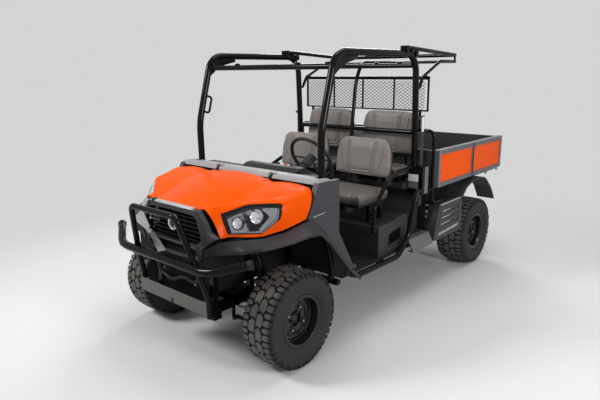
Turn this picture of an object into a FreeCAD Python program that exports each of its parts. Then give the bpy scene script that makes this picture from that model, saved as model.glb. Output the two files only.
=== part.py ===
"""Side by side utility vehicle with two seat rows, a tubular roll cage and a tipping cargo bed.

Lengths are in millimetres. X points to the vehicle's left, Y to its rear and Z up.
Pieces are drawn with Y = 0 at the front axle. Each finished piece is then placed so that
the vehicle's origin lies under the middle of its length.
"""
import FreeCAD, Part
import math
import os
import re
from types import SimpleNamespace

import Sketcher
from FreeCAD import Placement, Rotation, Vector

doc = FreeCAD.newDocument("utility_vehicle")

# Driving dimensions
SIZES = [
    ("wheelbase", 2540),
    ("nose_overhang", 555),
    ("tail_overhang", 503),
    ("seat_gap", 0.3),
    ("moving_gap", 6),
    # wheels and steering
    ("axle_height", 317),
    ("tyre_radius", 317),
    ("bead_radius", 153),
    ("tyre_width_front", 254),
    ("tyre_width_rear", 280),
    ("tyre_middle_front", 636),
    ("tyre_middle_rear", 622),
    ("tread_pitches", 20),
    ("tread_rib", 12),
    ("lug_height", 12),
    ("rim_lip_x", 744),
    ("rim_lip_radius", 171),
    ("rim_wall", 5),
    ("disc_set_back", 88),
    ("disc_thick", 8),
    ("hub_radius", 52),
    ("kingpin_x", 545),
    ("kingpin_half", 74),
    ("ear_thick", 15),
    ("ear_radius", 16),
    ("housing_radius", 38),
    ("housing_face_x", 620),
    ("steer_arm", 110),
    ("tie_rod_radius", 9),
    ("tie_rod_rise", 7),
    ("rack_radius", 12),
    ("rack_half", 235),
    ("rack_case_half", 180),
    ("rack_case_radius", 20.7),
    # suspension
    ("arm_tube_radius", 13),
    ("bush_radius", 14),
    ("bush_length", 44),
    ("lower_bush_drop", 55),
    ("lower_bush_spread", 150),
    ("upper_bush_rise", 55),
    ("upper_bush_spread", 110),
    ("damper_foot_x", 425),
    ("damper_head_x", 322),
    ("damper_head_z", 735),
    ("spring_radius", 31),
    ("shaft_radius", 12),
    ("boot_radius", 30),
    # frame
    ("rail_inner", 245),
    ("rail_outer", 295),
    ("rail_bottom", 345),
    ("rail_top", 400),
    ("rail_front", -330),
    ("rail_rear", 2880),
    ("post_inner", 255),
    ("tower_top", 800),
    ("cab_frame_rear", 400),
    ("beam_width", 40),
    ("floor_under", 430),
    ("floor_thick", 6),
    ("floor_front", 500),
    ("floor_rear", 1690),
    ("outrigger_half", 677.7),
    ("bed_rail_bottom", 815),
    ("bed_rail_top", 852),
    ("bed_rail_front", 1722),
    ("bed_rail_rear", 2905),
    # front end
    ("guard_tube", 19),
    ("guard_top_x", 233),
    ("guard_top_y", -536),
    ("guard_top_z", 1034),
    ("guard_mid_x", 307),
    ("guard_mid_y", -464),
    ("guard_mid_z", 699),
    ("guard_leg_x", 345),
    ("guard_leg_y", -410),
    ("guard_leg_bottom", 366),
    ("bar_y", -500),
    ("bar_z", 705),
    ("bar_corner_x", 446),
    ("bar_end_x", 669),
    ("bar_end_y", -357),
    ("bar_end_z", 771),
    ("plate_half", 345),
    ("plate_bottom", 382),
    ("plate_top", 473),
    ("plate_thick", 6),
    ("plate_hole_z", 400),
    ("plate_hole_radius", 5.5),
    ("plate_hole_inner", 110),
    ("plate_hole_outer", 230),
    ("hood_skin", 8),
    ("hood_hinge_y", 245),
    ("hood_hinge_z", 1140),
    ("hinge_x", 270),
    ("hinge_pin", 5),
    ("fascia_face", -402),
    ("fascia_back", -374),
    ("cowl_inner", 660),
    ("cowl_outer", 700),
    ("dash_half", 575),
    # steering wheel
    ("wheel_x", 285),
    ("wheel_y", 635),
    ("wheel_z", 1220),
    ("wheel_radius", 172),
    ("wheel_grip", 13),
    ("column_rake", 30),
    ("column_radius", 34),
    # roll cage
    ("cage_x", 610),
    ("cage_tube", 25),
    ("roof_z", 1955),
    ("cage_foot_y", 455),
    ("pillar_front_y", 350),
    ("roof_front_y", 489),
    ("roof_rear_y", 1515),
    ("pillar_rear_y", 1548),
    ("bracket_top", 1078),
    ("bracket_bottom", 852),
    ("cross_tube", 19),
    ("header_y", 482),
    ("header_z", 1863),
    ("shoulder_bar_z", 1345),
    ("extension_rear", 2180),
    ("extension_tube", 16),
    ("brace_tube", 13),
    ("loop_x", 700),
    ("loop_z", 412),
    ("hip_tube", 16),
    ("screen_y", 1685),
    ("screen_half", 644),
    ("screen_bottom", 1502),
    ("screen_top", 1783),
    ("guard_hoop_x", 706),
    ("guard_hoop_y", 1688),
    ("guard_hoop_z", 1350),
    ("guard_hoop_tube", 13),
    # seats
    ("seat_inner", 40),
    ("seat_outer", 580),
    ("front_cushion_front", 850),
    ("front_cushion_rear", 1255),
    ("front_cushion_bottom", 850),
    ("front_cushion_top", 940),
    ("front_back_bottom", 1008),
    ("front_back_top", 1312),
    ("rear_cushion_front", 1335),
    ("rear_cushion_rear", 1600),
    ("rear_cushion_bottom", 1000),
    ("rear_cushion_top", 1080),
    ("rear_back_bottom", 1150),
    ("rear_back_top", 1507),
    ("base_half", 640),
    ("base_wall", 8),
    ("rear_base_half", 583.7),
    # body sides
    ("box_inner", 640),
    ("box_outer", 745),
    ("arch_inner", 590),
    ("arch_outer", 765),
    ("arch_skin", 6),
    # cargo bed
    ("bed_half", 746),
    ("bed_front", 1716),
    ("bed_rear", 3042),
    ("bed_floor_top", 890),
    ("bed_floor_thick", 10),
    ("bed_top", 1185),
    ("bed_wall", 8),
    ("bed_frame_depth", 46),
    ("bed_rail_height", 36),
    ("bed_post_front", 34),
    ("bed_post_mid_front", 2361),
    ("bed_post_mid_rear", 2408),
    ("pivot_y", 2900),
    ("pivot_z", 838),
    ("pivot_pin", 9.7),
    ("tailgate_thick", 28),
    ("gate_pin_y", 3024),
    ("gate_pin_z", 908),
    ("gate_pin", 7),
    ("lift_x", 190),
    ("lift_base_y", 2450),
    ("lift_base_z", 430),
    ("lift_eye_y", 2700),
    ("lift_eye_z", 825),
    ("barrel_radius", 26),
    ("rod_radius", 16),
]


def fill_sheet():
    """Write the driving dimensions into a spreadsheet, one named cell each."""
    sheet = doc.addObject("Spreadsheet::Sheet", "dims")
    for row, (name, value) in enumerate(SIZES, 1):
        sheet.set(f"A{row}", name)
        sheet.set(f"B{row}", str(value))
        sheet.setAlias(f"B{row}", name)
    doc.recompute()
    return SimpleNamespace(**{name: float(sheet.get(name)) for name, _ in SIZES})


d = fill_sheet()
nodes = []


def formula(text):
    """Point each name in a formula at its cell of the sheet."""
    return re.sub(r"[a-z][a-z_]*", r"dims.\g<0>", str(text))


def bind(item, **cells):
    """Bind properties of an object to formulas; an underscore stands for a dot."""
    for name, text in cells.items():
        item.setExpression(name.replace("_", "."), formula(text))
    return item


def box(x, y, z):
    """A block between two formulas along each axis."""
    item = doc.addObject("Part::Box", "block")
    for size, place, (low, high) in zip(("Length", "Width", "Height"), "xyz", (x, y, z)):
        item.setExpression(size, formula(f"({high}) - ({low})"))
        item.setExpression(f"Placement.Base.{place}", formula(low))
    return item


def rod(start, end, radius):
    """A round bar between two points."""
    start, end = Vector(*start), Vector(*end)
    item = doc.addObject("Part::Cylinder", "rod")
    item.Height = (end - start).Length
    bind(item, Radius=radius)
    item.Placement = Placement(start, Rotation(Vector(0, 0, 1), end - start))
    return item


def bent(points, bend):
    """A wire of straight runs joined by tangent arcs of one radius, or one radius a corner."""
    points = [Vector(*p) for p in points]
    bends = bend if isinstance(bend, (list, tuple)) else [bend] * (len(points) - 2)
    edges = []
    at = points[0]
    for before, corner, after, radius in zip(points, points[1:], points[2:], bends):
        back = (before - corner).normalize()
        on = (after - corner).normalize()
        half = (math.pi - back.getAngle(on)) / 2
        reach = radius * math.tan(half)
        middle = (back + on).normalize()
        centre = corner + middle * (radius / math.cos(half))
        edges.append(Part.LineSegment(at, corner + back * reach).toShape())
        arc = Part.Arc(corner + back * reach, centre - middle * radius, corner + on * reach)
        edges.append(arc.toShape())
        at = corner + on * reach
    edges.append(Part.LineSegment(at, points[-1]).toShape())
    return Part.Wire(edges)


def tube(points, radius, bend):
    """A round tube swept along straight runs and bends."""
    path = doc.addObject("Part::Feature", "tube_path")
    path.Shape = bent(points, bend)
    ring = doc.addObject("Part::Circle", "tube_section")
    bind(ring, Radius=radius)
    way = Vector(*points[1]) - Vector(*points[0])
    ring.Placement = Placement(Vector(*points[0]), Rotation(Vector(0, 0, 1), way))
    item = doc.addObject("Part::Sweep", "tube")
    item.Sections = [ring]
    item.Spine = (path, [f"Edge{i + 1}" for i in range(len(path.Shape.Edges))])
    item.Solid = True
    return item


def outline(body, plane, points, start):
    """A closed sketch on one of a body's origin planes, its corners bound to formulas."""
    sketch = body.newObject("Sketcher::SketchObject", "outline")
    support = [f for f in body.Origin.OriginFeatures if f.Role == f"{plane}_Plane"][0]
    sketch.AttachmentSupport = [(support, "")]
    sketch.MapMode = "FlatFace"
    sketch.setExpression("AttachmentOffset.Base.z", formula(start))
    names = vars(d)
    flat = [tuple(float(eval_formula(text, names)) for text in point) for point in points]
    count = len(flat)
    for i, (a, b) in enumerate(zip(flat, flat[1:] + flat[:1])):
        sketch.addGeometry(Part.LineSegment(Vector(*a, 0), Vector(*b, 0)))
    for i in range(count):
        sketch.addConstraint(Sketcher.Constraint("Coincident", i, 2, (i + 1) % count, 1))
    for i, (point, place) in enumerate(zip(points, flat)):
        for kind, text, value in zip(("DistanceX", "DistanceY"), point, place):
            number = sketch.addConstraint(Sketcher.Constraint(kind, -1, 1, i, 1, value))
            if re.search("[a-z]", str(text)):
                sketch.setExpression(f"Constraints[{number}]", formula(text))
    return sketch


def eval_formula(text, names):
    """The value of a formula of sums, products and names."""
    total = 0.0
    for sign, term in re.findall(r"([+-]?)\s*([^+\-]+)", str(text)):
        value = 1.0
        for factor in term.split("*"):
            factor = factor.strip()
            value *= names[factor] if factor in names else float(factor)
        total += -value if sign == "-" else value
    return total


def pad(plane, points, start, depth):
    """A padded outline. On YZ it grows along +X, on XZ along -Y and on XY along +Z."""
    body = doc.addObject("PartDesign::Body", "padded")
    sketch = outline(body, plane, points, start)
    item = body.newObject("PartDesign::Pad", "pad")
    item.Profile = sketch
    bind(item, Length=depth)
    return body


def lathe(points, x, y, z):
    """A profile of (along X, radius) turned about X and placed at a point."""
    body = doc.addObject("PartDesign::Body", "turned")
    sketch = outline(body, "XY", points, 0)
    item = body.newObject("PartDesign::Revolution", "turn")
    item.Profile = sketch
    item.ReferenceAxis = (sketch, ["H_Axis"])
    item.Angle = 360
    for axis, text in zip("xyz", (x, y, z)):
        body.setExpression(f"Placement.Base.{axis}", formula(text))
    return body


def fuse(*pieces):
    item = doc.addObject("Part::MultiFuse", "joined")
    item.Shapes = list(pieces)
    item.Refine = True
    return item


def cut(base, *tools):
    item = doc.addObject("Part::Cut", "trimmed")
    item.Base = base
    item.Tool = tools[0] if len(tools) == 1 else fuse(*tools)
    return item


def common(*pieces):
    item = doc.addObject("Part::MultiCommon", "shared")
    item.Shapes = list(pieces)
    return item


def mirrored(piece):
    """The same piece on the vehicle's other side."""
    item = doc.addObject("Part::Mirroring", "mirrored")
    item.Source = piece
    item.Normal = Vector(1, 0, 0)
    return item


def both(piece):
    return [piece, mirrored(piece)]


def node(label, *pieces):
    """A finished piece of the vehicle, placed about the origin under its middle."""
    item = doc.addObject("Part::Compound", label)
    item.Label = label
    item.Links = list(pieces)
    shift = "(dims.nose_overhang - dims.tail_overhang - dims.wheelbase) / 2"
    item.setExpression("Placement.Base.y", shift)
    nodes.append(item)
    return item


def loft(sections, ruled=False):
    """A solid through closed wires."""
    wires = []
    for wire in sections:
        item = doc.addObject("Part::Feature", "section")
        item.Shape = wire
        wires.append(item)
    item = doc.addObject("Part::Loft", "loft")
    item.Sections = wires
    item.Solid = True
    item.Ruled = ruled
    return item


def flip(points):
    return [(-x, z) for x, z in reversed(points)]


# Wheels and tyres

def tyre_profile(half):
    """One side of a tyre from bead to crown as (out, radius), and its lugs' tops above the shoulder."""
    r = d.tyre_radius
    bead = d.bead_radius + d.seat_gap
    side = [
        (half - 24, bead + 0.5), (half - 24, d.rim_lip_radius + 1.8), (half, r - 85), (half - 5, r - 37),
        (half - 24, r - 14), (d.tread_rib, r - d.lug_height),
    ]
    lug = {3: (half, r - 34), 4: (half - 22, r - 3), 5: (d.tread_rib, r)}
    return side, lug


def tyre(width, middle, y):
    """A tyre of flat facets, with a lug on every other facet of each shoulder, left and right in turn."""
    half = width * 0.5
    side, lug = tyre_profile(half)
    y0 = y_value(y)
    count = 2 * int(d.tread_pitches)

    def place(out, radius, step):
        angle = 2 * math.pi * step / count - math.pi / 2
        return Vector(middle + out, y0 + radius * math.cos(angle), d.axle_height + radius * math.sin(angle))

    def panel(*corners):
        return Part.Face(Part.makePolygon([*corners, corners[0]]))

    faces = []
    last = len(side) - 1
    for step in range(count):
        for hand in (1, -1):
            raised = (step % 2 == 0) == (hand > 0)
            rows = [(hand * out, radius) for out, radius in side]
            tops = {i: (hand * out, radius) for i, (out, radius) in lug.items()}
            for i in range(last):
                ends = (tops[i], tops[i + 1]) if raised and i in tops else (rows[i], rows[i + 1])
                (a, ra), (b, rb) = ends
                faces.append(panel(place(a, ra, step), place(b, rb, step),
                                   place(b, rb, step + 1), place(a, ra, step + 1)))
                if raised and i in tops:
                    for turn in (step, step + 1):
                        faces.append(panel(place(*rows[i], turn), place(*rows[i + 1], turn),
                                           place(*tops[i + 1], turn), place(*tops[i], turn)))
            if raised:
                for i in (3, last):
                    faces.append(panel(place(*rows[i], step), place(*tops[i], step),
                                       place(*tops[i], step + 1), place(*rows[i], step + 1)))
        for out, radius in (side[0], side[-1]):
            faces.append(panel(place(-out, radius, step), place(out, radius, step),
                               place(out, radius, step + 1), place(-out, radius, step + 1)))
    shell = Part.makeShell(faces)
    shell.sewShape()
    item = doc.addObject("Part::Feature", "lugged_ring")
    item.Shape = Part.makeSolid(shell)
    if item.Shape.Volume < 0:
        item.Shape = item.Shape.reversed()
    return item


def rim(middle, width, y):
    """A deep dished steel rim with its hub, lug ring and centre cap."""
    lip = d.rim_lip_x
    face = width * 0.5 - 24
    bead_out = middle + face + d.seat_gap
    bead_in = middle - face - d.seat_gap
    thick = lip - bead_out
    disc_out = lip - d.disc_set_back
    disc_in = disc_out - d.disc_thick
    barrel = d.bead_radius
    bore = barrel - d.rim_wall
    hub_in = d.housing_face_x + d.seat_gap
    points = [
        (hub_in, 0), (hub_in, d.hub_radius - 6), (disc_in - 8, d.hub_radius - 6),
        (disc_in - 8, d.hub_radius), (disc_in, d.hub_radius + 8), (disc_in + 8, bore - 30),
        (disc_in - 4, bore - 8), (disc_in - 16, bore), (bead_in - thick, bore),
        (bead_in - thick, d.rim_lip_radius), (bead_in, d.rim_lip_radius), (bead_in, barrel),
        (bead_out, barrel), (bead_out, d.rim_lip_radius), (lip, d.rim_lip_radius),
        (lip, d.rim_lip_radius - 4), (bead_out + 2, bore + 4), (bead_out - 16, bore - 2),
        (disc_out + 30, bore - 8), (disc_out + 14, bore - 16), (disc_out + 10, bore - 30),
        (disc_out, d.hub_radius + 8), (disc_out, 34), (disc_out + 18, 30), (disc_out + 18, 0),
    ]
    turned = lathe(points, 0, y, "axle_height")
    nuts = []
    for turn in range(4):
        angle = math.radians(45 + 90 * turn)
        nut_y = 45 * math.cos(angle)
        nut_z = d.axle_height + 45 * math.sin(angle)
        nut = doc.addObject("Part::Prism", "nut")
        nut.Polygon = 6
        nut.Circumradius = 11
        nut.Height = 20
        nut.Placement = Placement(
            Vector(disc_out - 3, y_value(y) + nut_y, nut_z), Rotation(Vector(0, 1, 0), 90)
        )
        nuts.append(nut)
    return fuse(turned, *nuts)


def y_value(text):
    return eval_formula(text, vars(d))


def wheels():
    for end, y in (("front", "0"), ("rear", "wheelbase")):
        width = getattr(d, f"tyre_width_{end}")
        middle = getattr(d, f"tyre_middle_{end}")
        ring = tyre(width, middle, y)
        wheel = rim(middle, width, y)
        node(f"tyre_{end}_left", ring)
        node(f"tyre_{end}_right", mirrored(ring))
        node(f"rim_{end}_left", wheel)
        node(f"rim_{end}_right", mirrored(wheel))


# Knuckles, hub carriers and steering links

def upright(y, steered):
    """The upright between the two ball joints, with its bearing housing."""
    z = d.axle_height
    y0 = y_value(y)
    x = d.kingpin_x
    half = d.kingpin_half
    thick = d.ear_thick
    pieces = [
        box(("kingpin_x + 15", "kingpin_x + 47"), (f"{y} - 28", f"{y} + 28"),
            ("axle_height - kingpin_half", "axle_height + kingpin_half")),
        rod((x + 40, y0, z), (d.housing_face_x, y0, z), "housing_radius"),
    ]
    for low in (z - half, z + half - thick):
        pieces.append(rod((x, y0, low), (x, y0, low + thick), "ear_radius"))
    for low, high in (("- kingpin_half", "- kingpin_half + ear_thick"),
                      ("+ kingpin_half - ear_thick", "+ kingpin_half")):
        pieces.append(box(("kingpin_x", "kingpin_x + 16"), (f"{y} - ear_radius", f"{y} + ear_radius"),
                          (f"axle_height {low}", f"axle_height {high}")))
    if steered:
        pieces.append(pad("XY", [
            ("kingpin_x - 12", "-1*steer_arm"), ("kingpin_x + 12", "-1*steer_arm"),
            ("kingpin_x + 47", "-24"), ("kingpin_x + 20", "-24"),
        ], "axle_height - 21", "14"))
        boss = (x, -d.steer_arm, z - 21)
        pieces.append(rod(boss, (x, -d.steer_arm, z - 7), "ear_radius - 3"))
    return fuse(*pieces)


def knuckles():
    front = upright("0", True)
    node("knuckle_left", front)
    node("knuckle_right", mirrored(front))
    rear = upright("wheelbase", False)
    node("rear_hub_carriers", *both(rear))


def tie_rods():
    """Each rod lies on its knuckle's arm and stops short of the rack's end."""
    z = d.axle_height + d.tie_rod_rise
    eye_low = d.axle_height - 7 + d.seat_gap
    inner = d.rack_half + 3
    y = -d.steer_arm
    link = fuse(
        rod((inner, y, z), (d.kingpin_x, y, z), "tie_rod_radius"),
        rod((inner, y, z), (inner + 34, y, z), "rack_radius"),
        rod((d.kingpin_x, y, eye_low), (d.kingpin_x, y, z + 12), "ear_radius - 3"),
    )
    node("tie_rod_left", link)
    node("tie_rod_right", mirrored(link))


def steering_rack():
    z = d.axle_height + d.tie_rod_rise
    bar = rod((-d.rack_half, -d.steer_arm, z), (d.rack_half, -d.steer_arm, z), "rack_radius")
    node("steering_rack", bar)


def steering_gear():
    """The rack's case under its cross member, and the column under the steering wheel."""
    z = d.axle_height + d.tie_rod_rise
    ends = ((-d.rack_case_half, -d.steer_arm, z), (d.rack_case_half, -d.steer_arm, z))
    case = cut(rod(*ends, "rack_case_radius"), rod(*ends, "rack_radius + seat_gap"))
    rake = math.radians(d.column_rake)
    way = Vector(0, -math.cos(rake), -math.sin(rake))
    top = Vector(d.wheel_x, d.wheel_y, d.wheel_z) + way * (22 + d.seat_gap)
    shroud = rod(top, top + way * 70, "column_radius")
    column = rod(top + way * 50, top + way * 300, "column_radius - 9")
    stalk = rod(top + way * 45, top + way * 45 + Vector(120, 0, 12), "7")
    node("steering_gear", case, cut(fuse(shroud, column, stalk), dash_space()))


def steering_wheel():
    rake = math.radians(d.column_rake)
    out = Vector(0, math.cos(rake), math.sin(rake))
    centre = Vector(d.wheel_x, d.wheel_y, d.wheel_z)
    ring = doc.addObject("Part::Torus", "grip")
    bind(ring, Radius1="wheel_radius", Radius2="wheel_grip")
    ring.Placement = Placement(centre, Rotation(Vector(0, 0, 1), out))
    down = Vector(0, math.sin(rake), -math.cos(rake))
    spokes = []
    for angle in (0, 180, 270):
        turn = math.radians(angle)
        way = Vector(1, 0, 0) * math.cos(turn) - down * math.sin(turn)
        spokes.append(rod(centre, centre + way * d.wheel_radius, "8"))
    hub = rod(centre - out * 22, centre + out * 10, "36")
    node("steering_wheel", fuse(ring, hub, *spokes))


# Suspension and drive line

def wishbone(y, outer, bush, spread, cross):
    """Two tubes from a ball joint boss to two bushes, with a cross tube when it has one."""
    x0, z0, boss_low, boss_high = outer
    x1, z1 = bush
    pieces = [rod((x0, y, boss_low), (x0, y, boss_high), "ear_radius")]
    for side in (-1, 1):
        inner = (x1, y + side * spread, z1)
        pieces.append(rod((x0, y, z0), inner, "arm_tube_radius"))
        half = d.bush_length / 2
        pieces.append(rod((x1, inner[1] - half, z1), (x1, inner[1] + half, z1), "bush_radius"))
    if cross:
        share = (x0 - cross) / (x0 - x1)
        z = z0 + (z1 - z0) * share
        reach = spread * share
        pieces.append(rod((cross, y - reach, z), (cross, y + reach, z), "arm_tube_radius"))
    joined = fuse(*pieces)
    face = box((f"{x0} - 2*ear_radius", f"{x0} + 2*ear_radius"), (f"{y} - 30", f"{y} + 30"),
               ("axle_height - kingpin_half - seat_gap", "axle_height + kingpin_half + seat_gap"))
    return cut(joined, face)


def suspension_arms():
    arms = []
    z = d.axle_height
    half = d.kingpin_half + d.seat_gap
    for y in (0, d.wheelbase):
        low = (d.kingpin_x, z - half - 9, z - half - 18, z - half)
        high = (d.kingpin_x, z + half + 9, z + half, z + half + 18)
        low_bush = (d.rail_outer - 19 + d.bush_radius + d.seat_gap, z - d.lower_bush_drop)
        high_bush = (d.rail_outer + d.bush_radius + d.seat_gap, z + d.upper_bush_rise)
        arms += both(wishbone(y, low, low_bush, d.lower_bush_spread, 0))
        arms += both(wishbone(y, high, high_bush, d.upper_bush_spread, d.damper_foot_x))
    node("suspension_arms", *arms)


def dampers():
    """A coil spring unit between each upper arm and the frame post."""
    units = []
    z_foot = d.axle_height + 96.3
    for y in (0, d.wheelbase):
        foot = Vector(d.damper_foot_x, y, z_foot)
        head = Vector(d.damper_head_x, y, d.damper_head_z)
        way = (head - foot).normalize()
        units += both(fuse(
            rod((foot.x, y - 12, foot.z), (foot.x, y + 12, foot.z), "14"),
            rod((head.x, y - 12, head.z), (head.x, y + 12, head.z), "14"),
            rod(foot, head, "11"),
            rod(foot + way * 40, foot + way * 240, "spring_radius"),
            rod(foot + way * 225, foot + way * 295, "20"),
        ))
    node("dampers", *units)


def drive_line():
    """Front axle case, propeller shaft and rear transaxle in one run, with four half shafts."""
    z = d.axle_height
    front = box((-110, 110), (-70, 90), (250, 338))
    rear = box((-150, 150), ("wheelbase - 140", "wheelbase + 140"), (235, 395))
    shaft = rod((0, 80, z - 20), (0, d.wheelbase - 130, z - 20), "20")
    across = ("-1*rail_inner + seat_gap", "rail_inner - seat_gap")
    front_lug = box(across, (45, 85), ("rail_bottom - 15", "rail_top - 10"))
    rear_lug = box(across, ("wheelbase + 60", "wheelbase + 110"), ("rail_bottom", "rail_top - 10"))
    pieces = [fuse(front, rear, shaft, front_lug, rear_lug)]
    for y, inner, outer in ((0, 110, d.kingpin_x - 15), (d.wheelbase, 150, d.kingpin_x + 15 - d.seat_gap)):
        pieces += both(fuse(
            rod((inner + d.seat_gap, y, z), (outer, y, z), "shaft_radius"),
            rod((inner + d.seat_gap, y, z), (inner + 50, y, z), "boot_radius"),
            rod((outer - 50, y, z), (outer, y, z), "boot_radius"),
        ))
    node("drive_line", *pieces)


def engine():
    across = ("-1*rail_inner + seat_gap", "rail_inner - seat_gap")
    node("engine_block", fuse(
        box((-220, 220), (1770, 2230), (365, 790)),
        box(across, (1800, 1850), ("rail_bottom + 5", "rail_top - 5")),
        box(across, (2150, 2200), ("rail_bottom + 5", "rail_top - 5")),
    ))


# Frame

def chassis():
    """Two box rails with cross members, suspension posts, cab outriggers and the bed's rails."""
    rail = ("rail_inner", "rail_outer")
    post = ("post_inner", "rail_outer")
    level = ("rail_bottom", "rail_top")
    left = [
        box(rail, ("rail_front", "rail_rear"), level),
        box(post, ("rail_front", "rail_front + beam_width"), ("rail_top", "tower_top + 40")),
        box(post, ("rail_front + beam_width", "cab_frame_rear"), ("tower_top - 40", "tower_top")),
        box(post, ("-20", "20"), ("rail_top", "tower_top - 40")),
        box(post, ("cab_frame_rear - 40", "cab_frame_rear"), ("rail_top", "tower_top - 40")),
        box(post, ("bed_rail_front", "bed_rail_rear"), ("bed_rail_bottom", "bed_rail_top")),
    ]
    for y in ("bed_rail_front", "wheelbase - 20", "rail_rear - 40"):
        left.append(box(post, (y, f"{y} + 40"), ("rail_top", "bed_rail_bottom")))
    left.append(box(("rail_outer - 10", "box_inner - seat_gap"), (1900, 1940), ("rail_top", "floor_under")))
    for axle in ("0", "wheelbase"):
        for side in ("- lower_bush_spread", "+ lower_bush_spread"):
            middle = f"{axle} {side}"
            left.append(box(("rail_outer - 35", "rail_outer - 19"), (f"{middle} - 10", f"{middle} + 10"),
                            ("axle_height - lower_bush_drop - 14", "rail_bottom")))
        left.append(box(("rail_outer", "damper_head_x + 14"), (f"{axle} - 20", f"{axle} - 13"),
                        ("damper_head_z - 20", "damper_head_z + 20")))
        left.append(box(("rail_outer", "damper_head_x + 14"), (f"{axle} + 13", f"{axle} + 20"),
                        ("damper_head_z - 20", "damper_head_z + 20")))
    left.append(rod((d.rail_outer, d.pivot_y, d.pivot_z), (d.rail_outer + 32, d.pivot_y, d.pivot_z),
                    "pivot_pin"))
    across = [
        box(("-1*rail_inner", "rail_inner"), (f"{y}", f"{y} + beam_width"), level)
        for y in ("rail_front", "300", "1000", "1665", "2280", "rail_rear - beam_width")
    ]
    across.append(box(("-1*rail_inner", "rail_inner"), ("-150", "-75"), ("rail_bottom", "rail_bottom + 20")))
    across.append(box(("-1*post_inner", "post_inner"), ("rail_front", "rail_front + beam_width"),
                      ("tower_top", "tower_top + 40")))
    across.append(box(("-1*post_inner", "post_inner"), ("cab_frame_rear - 40", "cab_frame_rear"),
                      ("tower_top - 40", "tower_top")))
    across.append(box(("-1*guard_leg_x - guard_tube", "guard_leg_x + guard_tube"),
                      ("guard_leg_y + guard_tube + seat_gap", "rail_front"), level))
    for y in ("435", "625", "980", "1480", "1650"):
        across.append(box(("-1*outrigger_half", "outrigger_half"), (y, f"{y} + beam_width"),
                          ("rail_top", "floor_under")))
    hole = rod((0, d.bed_rear - 25, 300), (0, d.bed_rear - 25, 500), "10")
    hitch = [
        box((-32, 32), ("rail_rear", "bed_rear - 50"), ("rail_bottom", "rail_bottom + 50")),
        cut(box((-45, 45), ("bed_rear - 80", "bed_rear + 1"), ("rail_bottom + 50", "rail_bottom + 62")), hole),
    ]
    lift = [
        box(("lift_x - 26", "rail_inner"), ("lift_base_y - 18", "lift_base_y + 18"),
            ("rail_top - 16", "rail_top")),
        rod((d.lift_x - 22, d.lift_base_y, d.lift_base_z), (d.lift_x + 22, d.lift_base_y, d.lift_base_z), "8"),
    ]
    for low, high in (("- 22", "- 16"), ("+ 16", "+ 22")):
        lift.append(box((f"lift_x {low}", f"lift_x {high}"), ("lift_base_y - 18", "lift_base_y + 18"),
                        ("rail_top - 16", "lift_base_z + 18")))
    right = [mirrored(piece) for piece in left]
    node("chassis_frame", fuse(*left, *right, *across, *hitch, *lift))


# Front end

def brush_guard():
    r = d.guard_tube
    top = (d.guard_top_x, d.guard_top_y, d.guard_top_z - r)
    mid = (d.guard_mid_x, d.guard_mid_y, d.guard_mid_z)
    knee = (d.guard_leg_x, d.guard_leg_y, d.plate_top + 16)
    foot = (d.guard_leg_x, d.guard_leg_y, d.guard_leg_bottom)
    left = [foot, knee, mid, top]
    loop = tube(left + [(-x, y, z) for x, y, z in reversed(left)], "guard_tube", [60, 200, 50, 50, 200, 60])
    side = [(d.bar_end_x, d.bar_end_y, d.bar_end_z), (d.bar_corner_x, d.bar_y, d.bar_z)]
    bar = tube(side + [(-x, y, z) for x, y, z in reversed(side)], "guard_tube", 60)
    node("brush_guard", fuse(loop, bar))


def front_plate():
    back = "guard_leg_y - guard_tube - seat_gap"
    plate = box(("-1*plate_half", "plate_half"), (f"{back} - plate_thick", back), ("plate_bottom", "plate_top"))
    tabs = both(box(("guard_leg_x - guard_tube - 30", "guard_leg_x - guard_tube - seat_gap"),
                    (back, "guard_leg_y + 10"), ("plate_top - 18", "plate_top - 8")))
    notch = box((-15, 15), (f"{back} - 20", f"{back} + 20"), ("plate_bottom - 5", "plate_bottom + 32"))
    y = d.guard_leg_y - d.guard_tube
    holes = [
        rod((side * x, y - 30, d.plate_hole_z), (side * x, y + 30, d.plate_hole_z), "plate_hole_radius")
        for x in (d.plate_hole_inner, d.plate_hole_outer) for side in (-1, 1)
    ]
    node("front_plate", cut(fuse(plate, *tabs), notch, *holes))


HOOD_SECTIONS = [
    # along Y, then from the middle outwards: crown, valley crease, flank, ridge, brow of the side, side and foot
    (230, (0, 1153), (325, 1132), (500, 1138), (655, 1134), (677, 1116), (690, 1020), (696, 925)),
    (150, (0, 1146), (334, 1122), (495, 1127), (648, 1122), (672, 1105), (689, 1010), (694, 920)),
    (60, (0, 1134), (343, 1109), (490, 1113), (625, 1108), (667, 1089), (686, 1000), (690, 905)),
    (-20, (0, 1120), (343, 1092), (465, 1096), (574, 1090), (648, 1076), (672, 992), (674, 890)),
    (-80, (0, 1108), (337, 1077), (435, 1080), (533, 1080), (622, 1071), (653, 985), (652, 880)),
    (-140, (0, 1095), (322, 1056), (392, 1062), (470, 1070), (554, 1066), (612, 962), (628, 865)),
    (-200, (0, 1080), (300, 1041), (342, 1049), (388, 1058), (472, 1052), (560, 948), (598, 850)),
    (-260, (0, 1064), (268, 1034), (306, 1043), (348, 1052), (402, 1014), (464, 925), (510, 845)),
    (-310, (0, 1050), (240, 1031), (282, 1040), (326, 1048), (362, 998), (398, 918), (430, 840)),
    (-368, (0, 1036), (208, 1030), (254, 1037), (300, 1044), (338, 992), (368, 918), (400, 835)),
]


def sunk(points, inset):
    """The same run of section points moved inwards by a skin's thickness."""
    moved = []
    for i, (x, z) in enumerate(points):
        ahead = points[min(i + 1, len(points) - 1)]
        behind = points[i - 1] if i else (-points[1][0], points[1][1])
        way = Vector(ahead[0] - behind[0], ahead[1] - behind[1], 0).normalize()
        moved.append((x + way.y * inset, z - way.x * inset))
    moved[-1] = (points[-1][0] - inset, points[-1][1] - inset)
    return moved


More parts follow.
